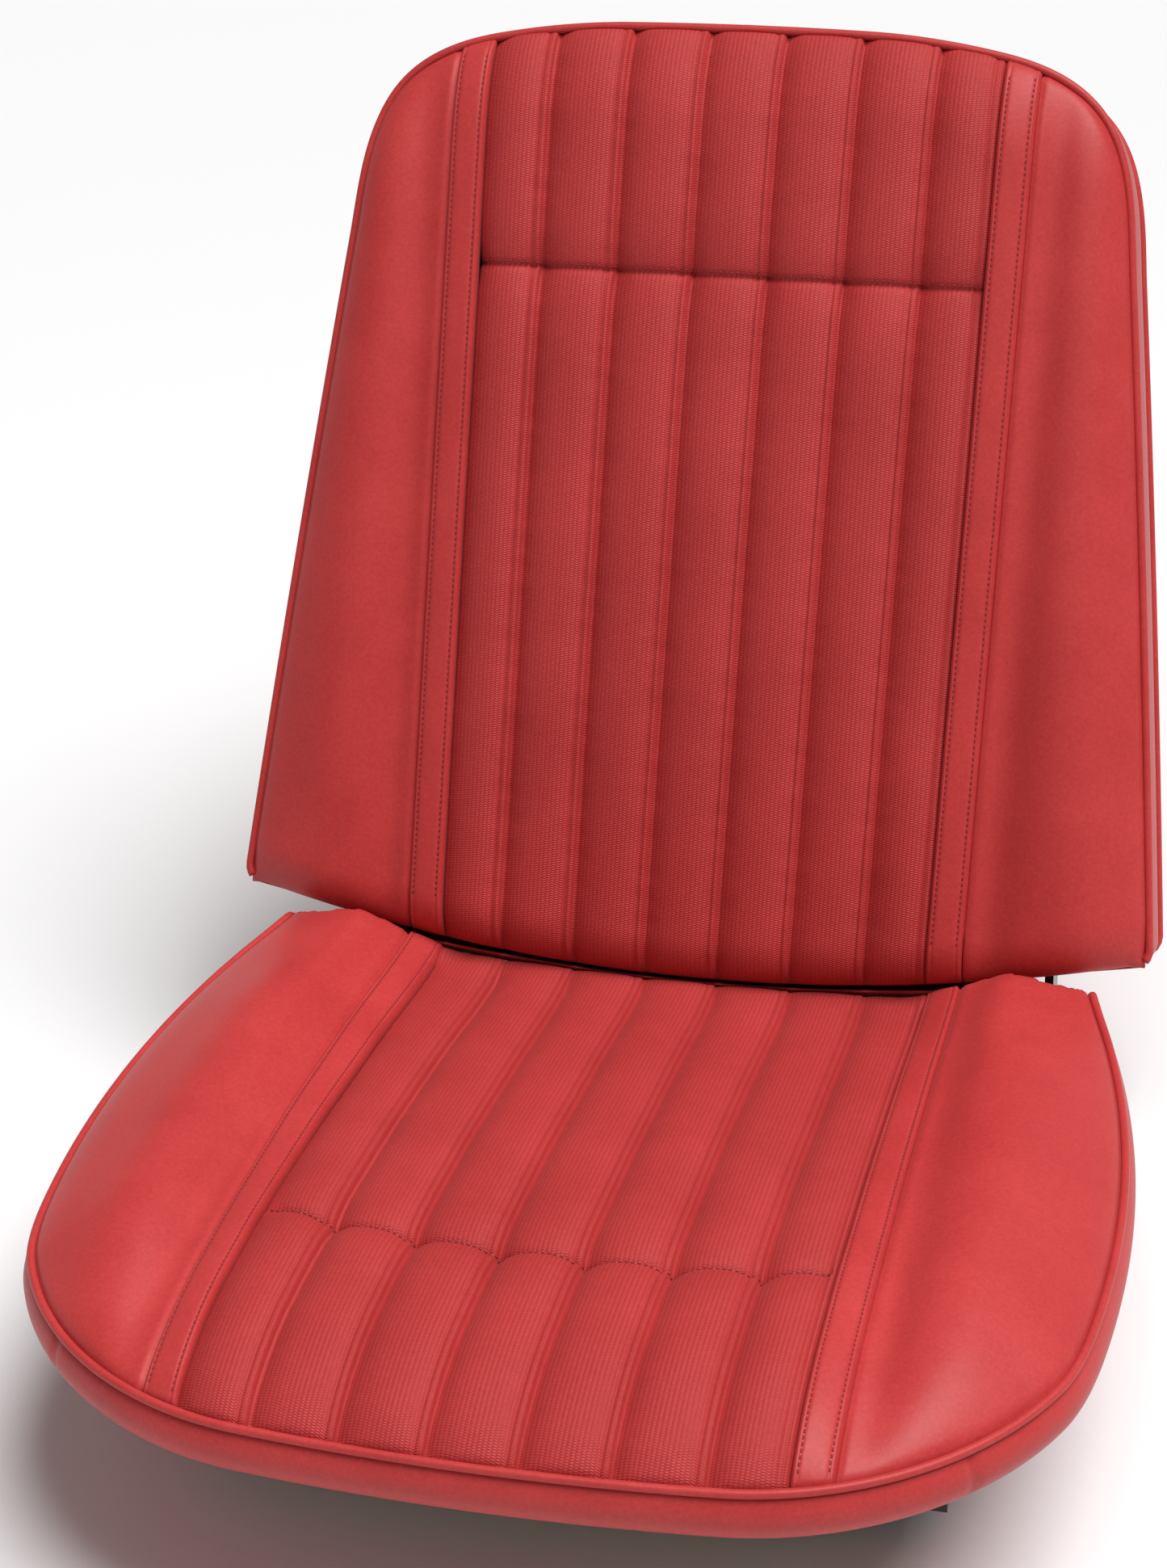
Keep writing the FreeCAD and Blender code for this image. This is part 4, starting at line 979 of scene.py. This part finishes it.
def ribbed_vinyl(name="red_vinyl_ribbed"):
    """Embossed insert vinyl: rows 2.5 mm apart of bars 1.25 mm long, from the panel's own UV map, with
    painted shade darkening the grooves between the bars.
    """
    item, nodes, links, shader = material(name)
    coordinates = nodes.new("ShaderNodeTexCoord")
    split = nodes.new("ShaderNodeSeparateXYZ")
    links.new(coordinates.outputs["UV"], split.inputs[0])

    def step(kind, *values, **options):
        return math_node(nodes, links, kind, *values, **options)

    row_at = step("MULTIPLY", split.outputs[0], 1 / 0.0025)
    row_number = step("FLOOR", row_at)
    within = step("FRACT", row_at)
    shift = step("MULTIPLY", step("MODULO", row_number, 2.0), 0.5)
    bar_at = step("ADD", step("MULTIPLY", split.outputs[1], 1 / 0.00135), shift)
    ridge = step("SINE", step("MULTIPLY", within, math.pi))
    wave = step("SINE", step("MULTIPLY", bar_at, 2 * math.pi))
    bars = step("ADD", step("MULTIPLY", wave, 0.32), 0.62)
    weave = step("MULTIPLY", step("POWER", ridge, 0.7), bars)
    place = coordinates.outputs["Object"]
    colour, _ = mottled_red(nodes, links, place)
    # Painted shade: the colour is mixed towards a deep red where the weave is low, in the grooves between the
    # ribs.
    dark = step("MULTIPLY", step("SUBTRACT", 1.0, weave), 0.42, clamp=True)
    colour = mix_colour(nodes, links, dark, colour, (0.25, 0.014, 0.016))
    links.new(colour, shader.inputs["Base Color"])
    shader.inputs["Roughness"].default_value = 0.52
    shader.inputs["Specular IOR Level"].default_value = 0.25
    shader.inputs["Sheen Weight"].default_value = 0.03
    swell = node(nodes, "ShaderNodeTexNoise", Scale=40.0, Detail=4.0)
    links.new(place, swell.inputs["Vector"])
    normal = add_bump(nodes, links, swell.outputs["Fac"], 0.25, 0.0010)
    normal = add_bump(nodes, links, weave, 0.8, 0.00045, normal)
    links.new(normal, shader.inputs["Normal"])
    return item


def speckled(name, colour, dark, rough, metallic=0.0, scale=90.0, bump=0.15, depth=0.0003, coat=0.0):
    """Metal, plastic, foam or thread: two tones mixed by noise, with matching roughness and bump."""
    item, nodes, links, shader = material(name)
    place = nodes.new("ShaderNodeTexCoord").outputs["Object"]
    grain = node(nodes, "ShaderNodeTexNoise", Scale=scale, Detail=6.0, Roughness=0.65)
    links.new(place, grain.inputs["Vector"])
    tones = ramp(nodes, links, grain.outputs["Fac"], [(0.35, dark), (0.7, colour)])
    links.new(tones, shader.inputs["Base Color"])
    spread = nodes.new("ShaderNodeMapRange")
    spread.inputs["To Min"].default_value = rough - 0.08
    spread.inputs["To Max"].default_value = rough + 0.12
    links.new(grain.outputs["Fac"], spread.inputs["Value"])
    links.new(spread.outputs[0], shader.inputs["Roughness"])
    shader.inputs["Metallic"].default_value = metallic
    shader.inputs["Coat Weight"].default_value = coat
    links.new(add_bump(nodes, links, grain.outputs["Fac"], bump, depth), shader.inputs["Normal"])
    return item


VINYL, RIBBED = plain_vinyl(), ribbed_vinyl()
THREAD = speckled("dark_red_thread", (0.30, 0.022, 0.025), (0.17, 0.012, 0.014), 0.7, scale=900.0)
FINISHES = {
    "foam": speckled("cream_foam", (0.78, 0.70, 0.45), (0.62, 0.53, 0.30), 0.9,
                      scale=700.0, bump=0.6, depth=0.0008),
    "felt": speckled("grey_felt", (0.22, 0.20, 0.18), (0.10, 0.09, 0.085), 0.95,
                      scale=350.0, bump=0.7, depth=0.001),
    "spring_steel": speckled("oil_black_wire", (0.16, 0.155, 0.15), (0.07, 0.068, 0.066), 0.38,
                              metallic=1.0, scale=200.0),
    "plated_steel": speckled("zinc_plate", (0.62, 0.60, 0.55), (0.42, 0.41, 0.38), 0.34,
                              metallic=1.0, scale=160.0),
    "black_paint": speckled("black_enamel", (0.022, 0.022, 0.024), (0.012, 0.012, 0.013), 0.34,
                             scale=120.0, coat=0.3),
    "nylon": speckled("natural_nylon", (0.78, 0.76, 0.68), (0.66, 0.64, 0.56), 0.5, scale=150.0),
    "grip_plastic": speckled("black_grip", (0.03, 0.03, 0.03), (0.015, 0.015, 0.015), 0.55,
                              scale=500.0, bump=0.4),
    "plain_vinyl": VINYL,
    "pleated_vinyl": RIBBED,
    "piping_vinyl": VINYL,
}

# %% Finishes on the CAD nodes
slots = {row["node"]: row["material_slot"] for row in frame["record"]["subparts"]}
for name, item in nodes.items():
    item.data.materials.clear()
    item.data.materials.append(FINISHES[slots[name]])
print("finished", len(nodes), "nodes")


# %% Rides and what each piece stands for
def dress(piece, body, finish, stands_for=()):
    """Gives a piece its finish and body, and hides the plain solids it stands for."""
    piece.data.materials.append(finish)
    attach(piece, body)
    if stands_for:
        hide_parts(*stands_for)


dress(cushion_insert_piece, "seat_frame", RIBBED, ["cushion_insert_cover"])
dress(backrest_insert_piece, "backrest", RIBBED,
      ["backrest_insert_cover", "backrest_foam"])
for side in ("left", "right"):
    for part, body in (("cushion", "seat_frame"), ("backrest", "backrest")):
        for kind, fill in (("band", None), ("bolster", 0.8)):
            label = f"{part}_{kind}_{side}"
            dress(side_pieces[label], body, VINYL, [label])
dress(cushion_boxing_piece, "seat_frame", VINYL, ["cushion_skirt"])
dress(cushion_foam_piece, "seat_frame", FINISHES["foam"], ["cushion_foam"])
dress(cushion_welt_piece, "seat_frame", VINYL, ["cushion_welt"])
dress(backrest_boxing_piece, "backrest", VINYL, ["backrest_boxing"])
dress(backrest_panel_piece, "backrest", VINYL, ["backrest_rear_panel"])
dress(front_piping, "backrest", VINYL, ["backrest_front_welt"])
dress(rear_piping, "backrest", VINYL, ["backrest_rear_welt"])
for piece, body in stitches:
    dress(piece, body, THREAD)

# %% [markdown]
# The studio is a plain pale floor, a large soft light overhead and a gentle fill, so highlights are
# wide and sit on the tops of the bolsters. The camera stands to the seat's right and looks down on it.


# %% Floor, lights and camera
def area_light(name, place, target, size, power):
    """A square soft light that faces a point."""
    light = bpy.data.lights.new(name, "AREA")
    light.size = size
    light.energy = power
    item = bpy.data.objects.new(name, light)
    bpy.context.scene.collection.objects.link(item)
    item.location = place
    item.rotation_euler = (Vector(target) - Vector(place)).to_track_quat("-Z", "Y").to_euler()
    return item


floor_material, _, _, floor_shader = material("studio_floor")
floor_shader.inputs["Base Color"].default_value = (0.82, 0.82, 0.82, 1)
floor_shader.inputs["Roughness"].default_value = 0.9
floor_mesh = bpy.data.meshes.new("studio_floor")
floor_corners = [(-6, -6, -0.001), (6, -6, -0.001), (6, 6, -0.001), (-6, 6, -0.001)]
floor_mesh.from_pydata(floor_corners, [], [(0, 1, 2, 3)])
floor_mesh.materials.append(floor_material)
floor = bpy.data.objects.new("studio_floor", floor_mesh)
bpy.context.scene.collection.objects.link(floor)

sun = bpy.data.lights.new("overhead_sky", "SUN")
sun.angle = math.radians(38)
sun.energy = 3.1
sun_object = bpy.data.objects.new("overhead_sky", sun)
bpy.context.scene.collection.objects.link(sun_object)
sun_object.rotation_euler = (math.radians(-2), math.radians(22), 0)
area_light("overhead_softbox", (0.25, -0.45, 2.0), (0, 0, 0.2), 0.7, 9)
area_light("front_fill", (-0.9, -2.4, 1.5), (0, 0, 0.3), 1.6, 1.5)
world = bpy.data.worlds.new("studio")
world.use_nodes = True
world.node_tree.nodes["Background"].inputs[0].default_value = (1, 1, 1, 1)
world.node_tree.nodes["Background"].inputs[1].default_value = 0.22
bpy.context.scene.world = world
bpy.context.scene.view_settings.view_transform = "Standard"

azimuth, elevation, roll = (math.radians(a) for a in (15.51, 32.42, -3.35))
level = math.cos(elevation)
back = np.array([math.sin(azimuth) * level, -math.cos(azimuth) * level, math.sin(elevation)])
right = np.array([math.cos(azimuth), math.sin(azimuth), 0.0])
up = np.cross(right, -back)
across = right * math.cos(roll) + up * math.sin(roll)
above = -right * math.sin(roll) + up * math.cos(roll)
camera = bpy.data.cameras.new("camera")
camera.sensor_fit = "VERTICAL"
camera.sensor_height = 36.0
camera.lens = 82.2
camera_object = bpy.data.objects.new("camera", camera)
bpy.context.scene.collection.objects.link(camera_object)
turn = Matrix([[*row] for row in np.stack([across, above, back], -1)]).to_4x4()
turn.translation = (0.4043, -1.511, 1.3198)
camera_object.matrix_world = turn
bpy.context.scene.camera = camera_object
